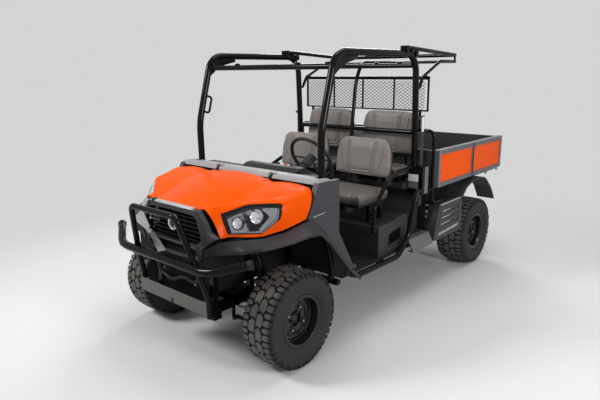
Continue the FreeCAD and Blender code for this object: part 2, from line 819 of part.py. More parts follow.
def hood_wire(section, inset, move=0):
    """One hood section: a crowned middle between two valley creases, flanks, ridges and curved sides."""
    y, *points = section
    y += move
    side = sunk(points, inset)

    def curve(run):
        line = Part.BSplineCurve()
        line.interpolate([Vector(x, y, z) for x, z in run])
        return line.toShape()

    def other(run):
        return [(-x, z) for x, z in reversed(run)]

    middle, flank, flare = side[:2], side[1:4], side[3:]
    base = Part.LineSegment(Vector(side[-1][0], y, side[-1][1]), Vector(-side[-1][0], y, side[-1][1])).toShape()
    return Part.Wire([
        curve(other(middle[1:]) + middle), curve(flank), curve(flare), base, curve(other(flare)), curve(other(flank)),
    ])


def hood_solid(inset, reach=0):
    last = len(HOOD_SECTIONS) - 1
    moves = [reach if i == 0 else -reach if i == last else 0 for i in range(last + 1)]
    return loft([hood_wire(s, inset, move) for s, move in zip(HOOD_SECTIONS, moves)])


LAMP_OUTLINE = [
    (345, -280, 996), (480, -194, 1068), (650, -61, 1074), (650, -82, 974), (600, -193, 904), (420, -308, 890),
]


def lamp_prism(grow, depth):
    """The lamp's outline pushed out square to the way that it faces, grown or shrunk about its middle."""
    corners = [Vector(*p) for p in LAMP_OUTLINE]
    middle = sum(corners, Vector()) * (1 / len(corners))
    face = (corners[4] - corners[0]).cross(corners[2] - corners[0]).normalize()
    flat = []
    for corner in corners:
        way = corner - middle
        way -= face * way.dot(face)
        flat.append(middle + way * ((way.Length + grow) / way.Length))
    wire = doc.addObject("Part::Feature", "lamp_outline")
    wire.Shape = Part.makePolygon(flat + flat[:1])
    item = doc.addObject("Part::Extrusion", "lamp_prism")
    item.Base = wire
    item.DirMode = "Custom"
    item.Dir = face
    item.LengthFwd = 110
    item.LengthRev = depth
    item.Solid = True
    return item


def hood():
    shell = cut(hood_solid(0), hood_solid(d.hood_skin, 12))
    side_view = pad("YZ", [
        ("204", "1300"), ("201", "1140"), ("104", "948"), (-190, 886), (-320, 872), (-345, 872), (-366, 1040), (-375, 1046), (-375, 1300),
    ], -760, 1520)
    arm = ("hinge_x - 13", "hinge_x + 13")
    y, z = d.hood_hinge_y, d.hood_hinge_z
    eye = ((d.hinge_x - 13, y, z), (d.hinge_x + 13, y, z))
    arms = both(cut(
        fuse(rod(*eye, "hinge_pin + 7"),
             box(arm, (150, "hood_hinge_y"), ("hood_hinge_z - 24", "hood_hinge_z - 5"))),
        rod((d.hinge_x - 20, y, z), (d.hinge_x + 20, y, z), "hinge_pin + 0.6"),
    ))
    node("hood", fuse(cut(common(shell, side_view), *both(lamp_prism(0, 110))), *arms))


def headlamps():
    """Lens and lamp body behind it, the lens in the hood's own form set back a little."""
    node("headlamps", *both(common(hood_solid(2.5), lamp_prism(-d.seat_gap - 1.5, 45))))


def radiator():
    """The radiator between the front posts, with the air guide above it."""
    width = ("-1*post_inner + seat_gap", "post_inner - seat_gap")
    core = box(width, ("rail_front + 6", "rail_front + 34"), ("rail_top + seat_gap", "tower_top - seat_gap"))
    guide = box(width, ("rail_front + 8", "rail_front + 14"), ("tower_top + 40 + seat_gap", "tower_top + 190"))
    node("radiator", core, guide)


def fascia():
    """The grille's surround with its side wedges, and the bumper cover below."""
    deep = "fascia_back - fascia_face"
    start = "-1*fascia_back"
    half = [(0, 1026), (216, 1026), (278, 1032), (332, 972), (366, 912), (425, 884), (306, 806), (262, 716), (0, 704)]
    rim_points = half + flip(half[1:-1])
    face = pad("XZ", rim_points, start, deep)
    upper = [(0, 1000), (222, 994), (258, 972), (292, 848), (246, 812), (0, 800)]
    lower = [(0, 782), (232, 790), (262, 770), (236, 730), (0, 722)]
    holes = [pad("XZ", half_hole + flip(half_hole[1:-1]), f"{start} - 10", f"{deep} + 20")
             for half_hole in (upper, lower)]
    brackets = both(box((262, 288), ("fascia_back - 2", "rail_front - seat_gap"), (795, 815)))
    node("front_fascia", fuse(cut(face, *holes), *brackets))
    bars = []
    back = d.fascia_back + 2
    for z in range(824, 990, 28):
        reach = 288 - (z - 848) * 0.24 if z > 848 else 262
        bars.append(rod((-reach + 14, back, z), (reach - 14, back, z), "5"))
    for z in range(736, 780, 14):
        bars.append(rod((-226, back, z), (226, back, z), "4"))
    for x in (-180, -90, 90, 180):
        bars.append(rod((x, back + 9, 715), (x, back + 9, 1010), "6"))
    bars.append(rod((0, back + 12, 907), (0, back - 20, 907), "46"))
    bars.append(rod((0, back + 9, 715), (0, back + 9, 1010), "6"))
    cross = box((-250, 250), ("fascia_back + seat_gap", "fascia_back + 20"), (1002, 1012))
    foot = box((-240, 240), ("fascia_back + seat_gap", "fascia_back + 20"), (711, 721))
    node("grille", fuse(*bars, cross, foot))


FENDER_EDGE = [
    # outer lower edge, then inner upper edge, each as (x, y, z)
    ((318, -398, 748), (318, -402, 797)),
    ((440, -380, 784), (430, -378, 862)),
    ((590, -330, 808), (500, -312, 864)),
    ((715, -232, 838), (606, -196, 872)),
    ((782, -120, 860), (674, -84, 896)),
    ((800, 20, 870), (700, 50, 926)),
    ((800, 112, 860), (700, 150, 930)),
    ((800, 204, 788), (700, 262, 836)),
    ((800, 310, 667), (700, 370, 712)),
    ((800, 440, 524), (700, 500, 570)),
    ((798, 540, 438), (700, 588, 486)),
]


def fender_wire(edge):
    """One section of the flare: a thin skin down to a rolled lip."""
    low, high = (Vector(*p) for p in edge)
    up = Vector(0, high.y - low.y, high.z - low.z).normalize()
    lip = low + up * 20
    inner = high + Vector(d.seat_gap, 0, 0)
    way = (inner - lip).normalize()
    rise = way.dot(up)
    back = (up * way.x - Vector(rise, 0, 0)) * 6
    points = [low, lip, inner - back, inner, lip + back, low - Vector(6, 0, 0)]
    return Part.makePolygon(points + points[:1])


def front_fenders():
    flare = loft([fender_wire(edge) for edge in FENDER_EDGE], ruled=True)
    node("front_fenders", *both(flare))


def cowl():
    side = pad("YZ", [
        (212, 1150), (425, 1149), (425, 791), (596, 500), (572, 462), (490, 560), (350, 722),
        (246, 838), (130, 905), (112, 950),
    ], "cowl_inner", "cowl_outer - cowl_inner")
    foot = box(("cowl_inner + 1", "cowl_inner + 17.4"), (545, 660), ("floor_under + floor_thick + seat_gap", 492))
    node("cowl_sides", *both(fuse(side, foot)))
    strip = pad("YZ", [(216, 1138), (222, 1154), (250, 1164), (330, 1163), (345, 1152), (330, 1152),
                       (322, 1156), (252, 1156), (230, 1147), (224, 1136)], -690, 1380)
    steps = both(box((658, 694), (210, 350), (1130, 1150.3)))
    feet = both(box((662, 690), (232, 336), (1150.3, 1159)))
    slots = both(box(("cage_x - cage_tube - 2", "cage_x + cage_tube + 2"), (300, 420), (1100, 1200)))
    notches = both(box(("hinge_x - 18", "hinge_x + 18"), ("hood_hinge_y - 30", "hood_hinge_y + 40"),
                       ("hood_hinge_z - 20", "hood_hinge_z + 60")))
    lugs = []
    for low, high in (("- 26", "- 18"), ("+ 18", "+ 26")):
        lugs += both(box((f"hinge_x {low}", f"hinge_x {high}"), ("hood_hinge_y - 12", "hood_hinge_y + 18"),
                         ("hood_hinge_z - 10", "hood_hinge_z + 33")))
    pins = both(rod((d.hinge_x - 26, d.hood_hinge_y, d.hood_hinge_z),
                    (d.hinge_x + 26, d.hood_hinge_y, d.hood_hinge_z), "hinge_pin"))
    node("cowl_strip", fuse(cut(strip, *slots, *notches, *steps), *feet, *lugs, *pins))


def dash_outer():
    return [(335, 1151.7), (440, 1149), (528, 1100), (505, 1000), (430, 806)]


def dash_space():
    """Everything inside the dashboard's outer face."""
    return pad("YZ", dash_outer() + [(335, 806)], "-1*dash_half - 5", "2*dash_half + 10")


def dashboard():
    outer = dash_outer()
    inner = [(414, 806), (489, 1004), (509, 1092), (436, 1135), (335, 1134)]
    skin = pad("YZ", outer + inner, "-1*dash_half", "2*dash_half")
    lugs = both(box(("dash_half - 5", "cage_x - cage_tube - seat_gap"), (342, 360), (1136, 1148)))
    node("dashboard", fuse(skin, *lugs))


# Cab floor, sides and seats

def floor():
    sheet = box(("-1*outrigger_half + 5", "outrigger_half - 5"), ("floor_front", "floor_rear"),
                ("floor_under", "floor_under + floor_thick"))
    toe = pad("YZ", [
        (500, 430), (506, 430), (506, 436), (436, 640), (416, 800), (410, 800), (430, 640),
    ], "-1*dash_half", "2*dash_half")
    node("floor_pan", fuse(sheet, toe))


def sills():
    skin = pad("XZ", [
        (745, 408), (745, 424), (702, 506), (641, 506), (641, 498), (690, 498), (730, 420), (690, 408),
    ], -1674, 325)
    tread = box((600, 645), (1412, 1674), (498, 506))
    node("sills", *both(fuse(skin, tread)))


def seat_bases():
    """Two hollow moulded bases, open below and behind, the front one with a side recess."""
    outer = pad("YZ", [
        (1000, 436.3), (1000, 668), (1014, 682), (1240, 682), (1262, 706), (1420, 706),
        (1430, 696), (1400, 436.3),
    ], "-1*base_half", "2*base_half")
    hollow = pad("YZ", [
        (1008, 430), (1008, 664), (1018, 674), (1244, 674), (1266, 698), (1440, 698), (1440, 430),
    ], "-1*base_half + base_wall", "2*base_half - 2*base_wall")
    recess = pad("YZ", [(1130, 500), (1140, 590), (1330, 640), (1345, 500)], "base_half - 4", 20)
    other = mirrored(recess)
    node("front_seat_base", cut(outer, hollow, recess, other))
    wall = pad("YZ", [
        (1600, 436.3), (1600, 876), (1420, 900), (1420, 940), (1680, 940), (1680, 436.3),
    ], "-1*rear_base_half", "2*rear_base_half")
    space = pad("YZ", [
        (1608, 430), (1608, 884), (1428, 908), (1428, 932), (1700, 932), (1700, 430),
    ], "-1*rear_base_half + base_wall", "2*rear_base_half - 2*base_wall")
    node("rear_seat_base", cut(wall, space))


def soft(x, y, z, lean, corner):
    """A plain closed pad with rounded edges, leaned back about its lower front edge."""
    block = doc.addObject("Part::Box", "pad_block")
    block.Length, block.Width, block.Height = x[1] - x[0], y[1] - y[0], z[1] - z[0]
    rounded = doc.addObject("Part::Fillet", "rounded_pad")
    rounded.Base = block
    doc.recompute()
    rounded.Edges = [(i + 1, corner, corner) for i in range(12)]
    block.Placement = Placement(Vector(x[0], y[0], z[0]), Rotation(Vector(1, 0, 0), -lean))
    return rounded


def seats():
    inner, outer = d.seat_inner, d.seat_outer
    node("front_cushions", *both(soft(
        (inner, outer), (d.front_cushion_front, d.front_cushion_rear),
        (d.front_cushion_bottom, d.front_cushion_top), 0, 28)))
    node("front_backrests", *both(soft(
        (inner + 12, outer - 18), (1196, 1280), (d.front_back_bottom, d.front_back_top), 8, 30)))
    node("rear_cushions", *both(soft(
        (inner, outer), (d.rear_cushion_front, d.rear_cushion_rear - 30),
        (d.rear_cushion_bottom, d.rear_cushion_top), 0, 26)))
    node("rear_backrests", *both(soft(
        (inner + 12, outer - 18), (1580, 1650), (d.rear_back_bottom, d.rear_back_top), 3, 28)))


def seat_frames():
    """Pedestals and back tubes that carry the cushions."""
    left = [
        box((90, 530), (880, 1240), (833, 849.7)),
        box((110, 140), (1060, 1090), (682, 833)),
        box((480, 510), (1060, 1090), (682, 833)),
        box((110, 140), (1210, 1238), (682, 833)),
        box((480, 510), (1210, 1238), (682, 833)),
        tube([(170, 1268, 833), (170, 1268, 925), (170, 1291.2, 1000), (170, 1325, 1240)], "11", 60),
        tube([(450, 1268, 833), (450, 1268, 925), (450, 1291.2, 1000), (450, 1325, 1240)], "11", 60),
        box((150, 470), (1225, 1272), (833, 845)),
        box((170, 450), (1311, 1329), (1180, 1200)),
    ]
    front = fuse(*left)
    rear = fuse(
        box((90, 530), (1350, 1560), (983, 999.7)),
        box((100, 520), (1460, 1560), (940.3, 983)),
        box((140, 480), (1550, 1662), (941, 953)),
        rod((150, 1649.6, 941.2), (150, 1669.4, 1320), "10"),
        rod((470, 1649.6, 941.2), (470, 1669.4, 1320), "10"),
    )
    node("seat_frames", *both(front), *both(rear))


# Roll cage

def cage_side():
    x = d.cage_x
    return tube([
        (x, d.cage_foot_y, d.floor_under + d.seat_gap), (x, d.cage_foot_y, 490), (x, 428, 640), (x, 354, 830),
        (x, d.pillar_front_y - 3, 1449), (x, d.roof_front_y, d.roof_z),
        (x, d.roof_rear_y, d.roof_z), (x, d.pillar_rear_y, 1200),
        (x, d.pillar_rear_y, d.bracket_top + d.seat_gap),
    ], "cage_tube", [60, 120, 120, 500, 140, 150, 300])


def cage():
    hoop = cage_side()
    node("cage_left", hoop)
    node("cage_right", mirrored(hoop))
    reach = d.cage_x - d.cage_tube - d.seat_gap
    bars = [
        rod((-reach, d.header_y, d.header_z), (reach, d.header_y, d.header_z), "cross_tube"),
        rod((-reach, 1508, 1868), (reach, 1508, 1868), "cross_tube"),
        rod((-reach, 1540, d.shoulder_bar_z), (reach, 1540, d.shoulder_bar_z), "cross_tube"),
    ]
    node("cage_crossbars", *bars)


BRACE = [(1552.4, 1690), (1580, 1690), (1634, 1780), (1917, 1902), (2188, 1900)]


def roof_extension():
    """Rear roof rails clamped on the cage, with their braces and a cross tube."""
    x = d.cage_x
    z = d.roof_z + d.cage_tube + d.extension_tube + d.seat_gap
    rail = tube([(x, 1322, z), (x, 1440, z), (x, d.extension_rear, z - 42)], "extension_tube", 200)
    brace = tube([(x, *point) for point in BRACE], "brace_tube", [25, 60, 60])
    clamp = cut(
        box(("cage_x - 30", "cage_x + 30"), (1330, 1366), ("roof_z - 5", "roof_z + 57")),
        rod((x, 1300, d.roof_z), (x, 1400, d.roof_z), "cage_tube + seat_gap"),
    )
    across = rod((-x, d.extension_rear, z - 42), (x, d.extension_rear, z - 42), "extension_tube")
    low = rod((-x, 2188, 1900), (x, 2188, 1900), "brace_tube")
    tie = rod((x, 2184, 1900), (x, 2180, z - 42), "9")
    node("roof_extension", fuse(
        rail, mirrored(rail), brace, mirrored(brace), clamp, mirrored(clamp), across, low,
        tie, mirrored(tie)))


def lower_loops():
    """The tube that guards each door opening, with the bracket that takes the rear pillar."""
    x = d.loop_x
    loop = tube([
        (x, 590, 471), (x, 622, d.loop_z + 6), (x, 1190, d.loop_z), (x, 1330, 540), (x, 1462, 900),
    ], "cage_tube - 3", [60, 110, 160])
    bracket = cut(
        box(("cage_x - 26", "loop_x + 20"), (1500, 1592), ("bracket_bottom", "bracket_top")),
        box(("cage_x - 20", "loop_x + 14"), (1506, 1600), ("bracket_bottom - 5", "bracket_top - 8")),
    )
    tongue = box(("loop_x - 16", "loop_x + 16"), (1440, 1506), (872, 902))
    strut = rod((680, 1503, 866), (646, 1463, 508.2), "9")
    node("lower_loops", *both(fuse(loop, bracket, tongue, strut)))


def grab_bars():
    """Hip guards beside the front seats and a grab handle on the far front pillar."""
    guard = tube([
        (618, 1499, 1062), (618, 1285, 1062), (618, 1130, 1005), (618, 966, 826), (618, 957, 650),
        (618, 999.7, 650),
    ], "hip_tube", [60, 60, 60, 20])
    x = -d.cage_x
    handle = tube([(x, 396.9, 1533.2), (x, 445, 1519.6), (x, 478.7, 1639.6), (x, 430.6, 1653.2)], "9", 20)
    node("grab_bars", *both(guard), handle)


def cab_screen():
    """The framed mesh behind the rear seats."""
    outer = box(("-1*screen_half", "screen_half"), ("screen_y - 8", "screen_y + 8"),
                ("screen_bottom", "screen_top"))
    windows = []
    third = (2 * d.screen_half - 24) / 4
    for i in range(4):
        low = -d.screen_half + 12 + third * i + 4
        windows.append(box((low, low + third - 8), (1600, 1800), ("screen_bottom + 12", "screen_top - 26")))
    frame = cut(outer, *windows)
    mesh = box(("-1*screen_half + 12", "screen_half - 12"), ("screen_y - 1.5", "screen_y + 1.5"),
               ("screen_bottom + 12", "screen_top - 26"))
    hoop = tube([
        (d.guard_hoop_x, 1860, 741.4), (d.guard_hoop_x, 1735, 741.4), (d.guard_hoop_x, d.guard_hoop_y, 800),
        (d.guard_hoop_x, d.guard_hoop_y, d.guard_hoop_z), (-d.guard_hoop_x, d.guard_hoop_y, d.guard_hoop_z),
        (-d.guard_hoop_x, d.guard_hoop_y, 800), (-d.guard_hoop_x, 1735, 741.4), (-d.guard_hoop_x, 1860, 741.4),
    ], "guard_hoop_tube", [40, 40, 60, 60, 40, 40])
    arms = both(box((560, 580), ("screen_y - 8", "screen_y + 8"), (1360, "screen_bottom")))
    clips = both(cut(
        box(("cage_x - 12", "cage_x + 12"), ("screen_y - 8", "screen_y + 8"), ("screen_top - 10", "screen_top + 16")),
        rod((d.cage_x, *BRACE[2]), (d.cage_x, *BRACE[3]), "brace_tube + seat_gap"),
    ))
    node("cab_screen", fuse(frame, mesh, hoop, *arms, *clips))


def seat_belts():
    web = box((656, 660), (1556, 1600), ("bracket_top + seat_gap", 1479))
    anchor = box(("cage_x + cage_tube + seat_gap", 658), (1530, 1562), (1450, 1470))
    low = box((656, 660), (1556, 1600), (741, "bracket_top - 8 - seat_gap"))
    node("seat_belts", *both(fuse(web, anchor)), *both(low))


def side_boxes():
    block = pad("YZ", [
        (1698, 420), (1690.3, 430), (1772, 716), (1784, 728), (2180, 728), (2196, 712), (2205, 425), (2200, 413),
    ], "box_inner", "box_outer - box_inner")
    slots = [pad("YZ", [(1800, z), (1806, z + 26), (2140, z + 26), (2134, z)], "box_outer - 8", 20)
             for z in (520, 575, 630)]
    node("side_boxes", *both(cut(block, *slots)))


ARCH = [(2130, 734.3), (2180, 734.3), (2250, 800), (2420, 850), (2640, 838), (2800, 712), (2905, 575)]


def rear_fenders():
    """An arched skin over each rear wheel with a turned-down lip."""
    path = bent([(d.arch_inner, y, z) for y, z in ARCH], [40, 80, 140, 160, 200])
    skin = doc.addObject("Part::Feature", "arch_skin")
    band = path.makeOffset2D(d.arch_skin, fill=True, openResult=True)
    skin.Shape = band.extrude(Vector(d.arch_outer - d.arch_inner, 0, 0))
    stays = [
        box(("rail_outer + seat_gap", "arch_inner"), (y, y + 30), (z, z + 12))
        for y, z in ((2300, 815), (2630, 818))
    ]
    node("rear_fenders", *both(skin), *[m for s in stays for m in both(s)])


def controls():
    """Pedals, and the shift and brake levers beside the driver."""
    pedals = [
        tube([(x, 428.9, 700), (x, 462, 704.1), (x, 505, 620), (x, 545, 560)], "7", [18, 60])
        for x in (240, 360)
    ]
    pads = [box((x - 28, x + 28), (545, 553), (528, 590)) for x in (240, 360)]
    lever = tube([(20, 466.7, 899.9), (20, 504, 885.5), (20, 560, 960), (20, 590, 1060)], "8", [25, 60])
    knob = doc.addObject("Part::Sphere", "knob")
    knob.Radius = 20
    knob.Placement = Placement(Vector(20, 592, 1068), Rotation())
    node("controls", *[fuse(a, b) for a, b in zip(pedals, pads)], fuse(lever, knob))


# Cargo bed

def bed():
    half, wall = "bed_half", "bed_wall"
    inner = "bed_half - bed_frame_depth"
    floor_low = "bed_floor_top - bed_floor_thick"
    gate_front = "bed_rear - tailgate_thick - moving_gap - 3"
    pieces = [
        box(("-1*bed_half", half), ("bed_front", gate_front), (floor_low, "bed_floor_top")),
        box(("-1*bed_half", half), ("bed_front", "bed_front + 30"), ("bed_floor_top", "bed_top")),
        box(("-1*bed_half + 60", "bed_half - 60"), (gate_front, "bed_rear"), ("bed_floor_top - 32", "bed_floor_top - 6")),
    ]
    for y in (1760, 2000, 2240, 2480, 2930):
        pieces.append(box((-690, 690), (y, y + 40), ("bed_floor_top - 30", floor_low)))
    left = [
        box((inner, f"{inner} + bed_wall"), ("bed_front", gate_front), ("bed_floor_top", "bed_top")),
        box((inner, half), ("bed_front", "bed_rear"), ("bed_floor_top - 10", "bed_floor_top + bed_rail_height - 10")),
        box((inner, half), ("bed_front", "bed_rear"), ("bed_top - bed_rail_height", "bed_top")),
        box((inner, half), ("bed_front", "bed_front + bed_post_front"), ("bed_floor_top", "bed_top")),
        box((inner, half), ("bed_post_mid_front", "bed_post_mid_rear"), ("bed_floor_top", "bed_top")),
        box((inner, half), ("bed_rear - bed_post_front", "bed_rear"), ("bed_floor_top - 10", "bed_top")),
        rod((d.bed_half - d.bed_frame_depth - 19, d.gate_pin_y, d.gate_pin_z),
            (d.bed_half - d.bed_frame_depth + 5, d.gate_pin_y, d.gate_pin_z), "gate_pin"),
        cut(box(("rail_outer + 6", "rail_outer + 26"), ("pivot_y - 30", "pivot_y + 30"),
                ("pivot_z - 16", floor_low)),
            rod((280, d.pivot_y, d.pivot_z), (340, d.pivot_y, d.pivot_z), "pivot_pin + 0.6")),
    ]
    ears = [
        box((f"lift_x {low}", f"lift_x {high}"), ("lift_eye_y - 20", "lift_eye_y + 20"),
            ("lift_eye_z - 18", floor_low))
        for low, high in (("- 26", "- 20"), ("+ 20", "+ 26"))
    ]
    right = [mirrored(piece) for piece in left]
    node("bed_tub", fuse(*pieces, *left, *right, *ears))


def bed_panels():
    inner = "bed_half - bed_frame_depth + bed_wall + seat_gap"
    bottom = "bed_floor_top + bed_rail_height - 10 + seat_gap"
    top = "bed_top - bed_rail_height - seat_gap"
    spans = (("bed_front + bed_post_front + seat_gap", "bed_post_mid_front - seat_gap"),
             ("bed_post_mid_rear + seat_gap", "bed_rear - bed_post_front - seat_gap"))
    panels = []
    for span in spans:
        panels += both(box((inner, "bed_half - 6"), span, (bottom, top)))
    node("bed_panels", *panels)


def tailgate():
    """A framed gate between the bed's rear posts, turning on pins at its lower edge."""
    inner = "bed_half - bed_frame_depth"
    front = "bed_rear - 4 - tailgate_thick"
    plate = box(("-1*bed_half + bed_frame_depth + 5", f"{inner} - 5"), (front, "bed_rear - 4"),
                ("bed_floor_top + 4", "bed_top - 2"))
    edge = d.bed_half - d.bed_frame_depth
    bores = both(rod((edge - 21, d.gate_pin_y, d.gate_pin_z), (edge, d.gate_pin_y, d.gate_pin_z), "gate_pin + 0.6"))
    half = d.bed_half - d.bed_frame_depth - 30
    recesses = [
        box((low, high), ("bed_rear - 16", "bed_rear + 5"), ("bed_floor_top + 40", "bed_top - 40"))
        for low, high in ((-half, -half / 3 - 12), (-half / 3 + 12, half / 3 - 12), (half / 3 + 12, half))
    ]
    node("tailgate", cut(plate, *recesses, *bores))


def lift_cylinder():
    base = Vector(d.lift_x, d.lift_base_y, d.lift_base_z)
    tip = Vector(d.lift_x, d.lift_eye_y, d.lift_eye_z)
    way = (tip - base).normalize()
    side = Vector(1, 0, 0)
    eye = rod(base - side * 15.7, base + side * 15.7, "20")
    neck = rod(base, base + way * 32, "14")
    tube_body = cut(
        rod(base + way * 30, base + way * 370, "barrel_radius"),
        rod(base + way * 44, base + way * 380, "rod_radius + seat_gap"),
    )
    bore = rod(base - side * 40, base + side * 40, "8.4")
    node("lift_barrel", cut(fuse(eye, neck, tube_body), bore))
    node("lift_rod", fuse(
        rod(base + way * 150, tip, "rod_radius"),
        rod(tip - side * 14, tip + side * 14, "rod_radius + 4"),
    ))


# Build, check and write

wheels()
knuckles()
tie_rods()
steering_rack()
steering_gear()
steering_wheel()
suspension_arms()
dampers()
drive_line()
engine()
chassis()
brush_guard()
front_plate()
hood()
headlamps()
radiator()
fascia()
front_fenders()
cowl()
dashboard()
floor()
sills()
seat_bases()
seats()
seat_frames()
cage()
roof_extension()
lower_loops()
grab_bars()
cab_screen()
seat_belts()
side_boxes()
rear_fenders()
controls()
bed()
bed_panels()
tailgate()
lift_cylinder()
doc.recompute()

faults = [item.Name for item in doc.Objects if "Invalid" in item.State or "Error" in item.State]
faults += [item.Label for item in nodes if item.Shape.isNull() or not item.Shape.isValid()]
if faults:
    raise SystemExit("These objects failed: " + ", ".join(faults))

os.makedirs("parts", exist_ok=True)
for item in nodes:
    item.Shape.exportStep(f"parts/{item.Label}.step")
print(f"{len(nodes)} sub-parts written")
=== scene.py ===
"""Looks for a two-row utility vehicle: paint, rubber, seats, lamps, mesh and fine fittings.

Places are written as the drawings give them, in millimetres, with y = 0 at the front axle.
"""
import math

import bmesh
import bpy
import numpy as np
from mathutils import Matrix, Vector
from mathutils.bvhtree import BVHTree


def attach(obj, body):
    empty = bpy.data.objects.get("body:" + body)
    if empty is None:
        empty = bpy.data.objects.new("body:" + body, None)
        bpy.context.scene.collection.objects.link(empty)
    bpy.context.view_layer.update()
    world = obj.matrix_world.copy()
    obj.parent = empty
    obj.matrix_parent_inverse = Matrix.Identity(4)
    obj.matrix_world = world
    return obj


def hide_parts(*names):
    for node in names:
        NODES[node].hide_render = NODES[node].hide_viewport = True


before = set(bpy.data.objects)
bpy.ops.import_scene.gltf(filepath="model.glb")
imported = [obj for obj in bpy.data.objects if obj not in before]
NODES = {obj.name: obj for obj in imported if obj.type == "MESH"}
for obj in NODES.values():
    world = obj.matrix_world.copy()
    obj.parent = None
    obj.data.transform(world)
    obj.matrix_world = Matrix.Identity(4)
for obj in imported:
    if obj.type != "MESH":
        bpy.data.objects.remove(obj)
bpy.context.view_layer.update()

bl_info = {
    "name": "Utility vehicle looks",
    "version": (1, 0, 0),
    "blender": (4, 5, 0),
    "location": "View3D > Sidebar > Vehicle",
    "description": "Dresses the vehicle's frame with its finished surfaces and fittings",
    "category": "Object",
}

# Where the front axle lies in the frame, in metres
AXLE_Y = -1.244

# Places and sizes of the CAD pieces that are dressed here, in millimetres
WHEELBASE = 2540
AXLE_Z = 317
CROWN = 304.4
HUB_X = 656
COWL_SIDE = 700
BASE_SIDE = 640
BOX_SIDE = 745
PILLAR_SIDE = 720
PANEL_SIDE = 740.2
HOOP_X = 610
HOOP_TOP = 2012
CAB_FLOOR = 436
BED_FLOOR = 890

# How far below a face a flat moulding on it starts, in millimetres
BURY = 0.2


class PaintSettings(bpy.types.PropertyGroup):
    """Colours of the vehicle's main finishes."""
    orange: bpy.props.FloatVectorProperty(
        name="Body paint", description="Colour of the hood and bed panels",
        subtype="COLOR", size=3, min=0, max=1, default=(0.86, 0.088, 0.0005))
    grey: bpy.props.FloatVectorProperty(
        name="Moulded grey", description="Colour of the flares, cowl and side mouldings",
        subtype="COLOR", size=3, min=0, max=1, default=(0.038, 0.037, 0.043))
    trim: bpy.props.FloatVectorProperty(
        name="Pale trim", description="Colour of the cowl strip, brow and sills",
        subtype="COLOR", size=3, min=0, max=1, default=(0.3, 0.296, 0.294))
    vinyl: bpy.props.FloatVectorProperty(
        name="Seat vinyl", description="Colour of the seat covers",
        subtype="COLOR", size=3, min=0, max=1, default=(0.165, 0.146, 0.132))


class TyreSettings(bpy.types.PropertyGroup):
    """Tread of the four tyres."""
    pitches: bpy.props.IntProperty(
        name="Pitches", description="Times that the tread pattern repeats around a tyre",
        min=12, max=40, default=22)
    tread_depth: bpy.props.FloatProperty(
        name="Tread depth", description="Height of the blocks above the carcass",
        unit="LENGTH", min=0.004, max=0.02, default=0.0125)


class SeatSettings(bpy.types.PropertyGroup):
    """Padding of the eight seat cushions."""
    voxel: bpy.props.FloatProperty(
        name="Remesh size", description="Voxel size of a cushion's mesh",
        unit="LENGTH", min=0.003, max=0.012, default=0.0066)
    pressure: bpy.props.FloatProperty(
        name="Pressure", description="Inner pressure of the padding",
        min=0, max=10, default=4)
    channel: bpy.props.FloatProperty(
        name="Channel depth", description="Depth of the pressed lines in the covers",
        unit="LENGTH", min=0.001, max=0.01, default=0.006)


class ScreenSettings(bpy.types.PropertyGroup):
    """Expanded mesh behind the rear seats."""
    pitch: bpy.props.FloatProperty(
        name="Diamond width", description="Width of one diamond of the mesh",
        unit="LENGTH", min=0.01, max=0.06, default=0.0405)
    rise: bpy.props.FloatProperty(
        name="Diamond height", description="Height of one diamond of the mesh",
        unit="LENGTH", min=0.005, max=0.05, default=0.0132)
    strand: bpy.props.FloatProperty(
        name="Strand", description="Thickness of a strand of the mesh",
        unit="LENGTH", min=0.001, max=0.006, default=0.0032)


class StageSettings(bpy.types.PropertyGroup):
    """Floor and lights."""
    floor: bpy.props.FloatVectorProperty(
        name="Floor", description="Colour of the floor and backdrop",
        subtype="COLOR", size=3, min=0, max=1, default=(0.72, 0.72, 0.72))
    backdrop: bpy.props.FloatVectorProperty(
        name="Backdrop", description="Colour that the far floor and the backdrop show",
        subtype="COLOR", size=3, min=0, max=1, default=(0.66, 0.66, 0.665))
    power: bpy.props.FloatProperty(
        name="Light", description="Strength of the lamps",
        min=0.1, max=4, default=1)


def at(x, y, z):
    """A place in the frame, from millimetres counted from the front axle."""
    return Vector((x * 0.001, y * 0.001 + AXLE_Y, z * 0.001))


def span(sign, near, far):
    """Two distances from the middle as a low and a high x, on the left (1) or the right (-1)."""
    return sorted((sign * near, sign * far))


# Shader node groups

def new_group(name, inputs, outputs):
    """An empty shader node group with its named inputs and outputs."""
    tree = bpy.data.node_groups.new(name, "ShaderNodeTree")
    for label, kind, default in inputs:
        socket = tree.interface.new_socket(label, in_out="INPUT", socket_type=kind)
        socket.default_value = default
    for label, kind in outputs:
        tree.interface.new_socket(label, in_out="OUTPUT", socket_type=kind)
    return tree, tree.nodes.new("NodeGroupInput"), tree.nodes.new("NodeGroupOutput")


def math_node(tree, operation, a, b=None, clamp=False):
    """One step of arithmetic on sockets or numbers."""
    node = tree.nodes.new("ShaderNodeMath")
    node.operation = operation
    node.use_clamp = clamp
    for socket, value in zip(node.inputs, (a, b)):
        if value is None:
            continue
        if isinstance(value, (int, float)):
            socket.default_value = value
        else:
            tree.links.new(value, socket)
    return node.outputs[0]


def mix_colour(tree, mask, low, high):
    """One colour where a mask is 0 and another where it is 1."""
    node = tree.nodes.new("ShaderNodeMix")
    node.data_type = "RGBA"
    for index, value in ((0, mask), (6, low), (7, high)):
        if isinstance(value, bpy.types.NodeSocket):
            tree.links.new(value, node.inputs[index])
        elif isinstance(value, (int, float)):
            node.inputs[index].default_value = value
        else:
            node.inputs[index].default_value = (*value, 1) if len(value) == 3 else value
    return node.outputs[2]


def object_axes(tree):
    """Object coordinates as separate X, Y and Z sockets."""
    where = tree.nodes.new("ShaderNodeTexCoord")
    split = tree.nodes.new("ShaderNodeSeparateXYZ")
    tree.links.new(where.outputs["Object"], split.inputs[0])
    return split.outputs


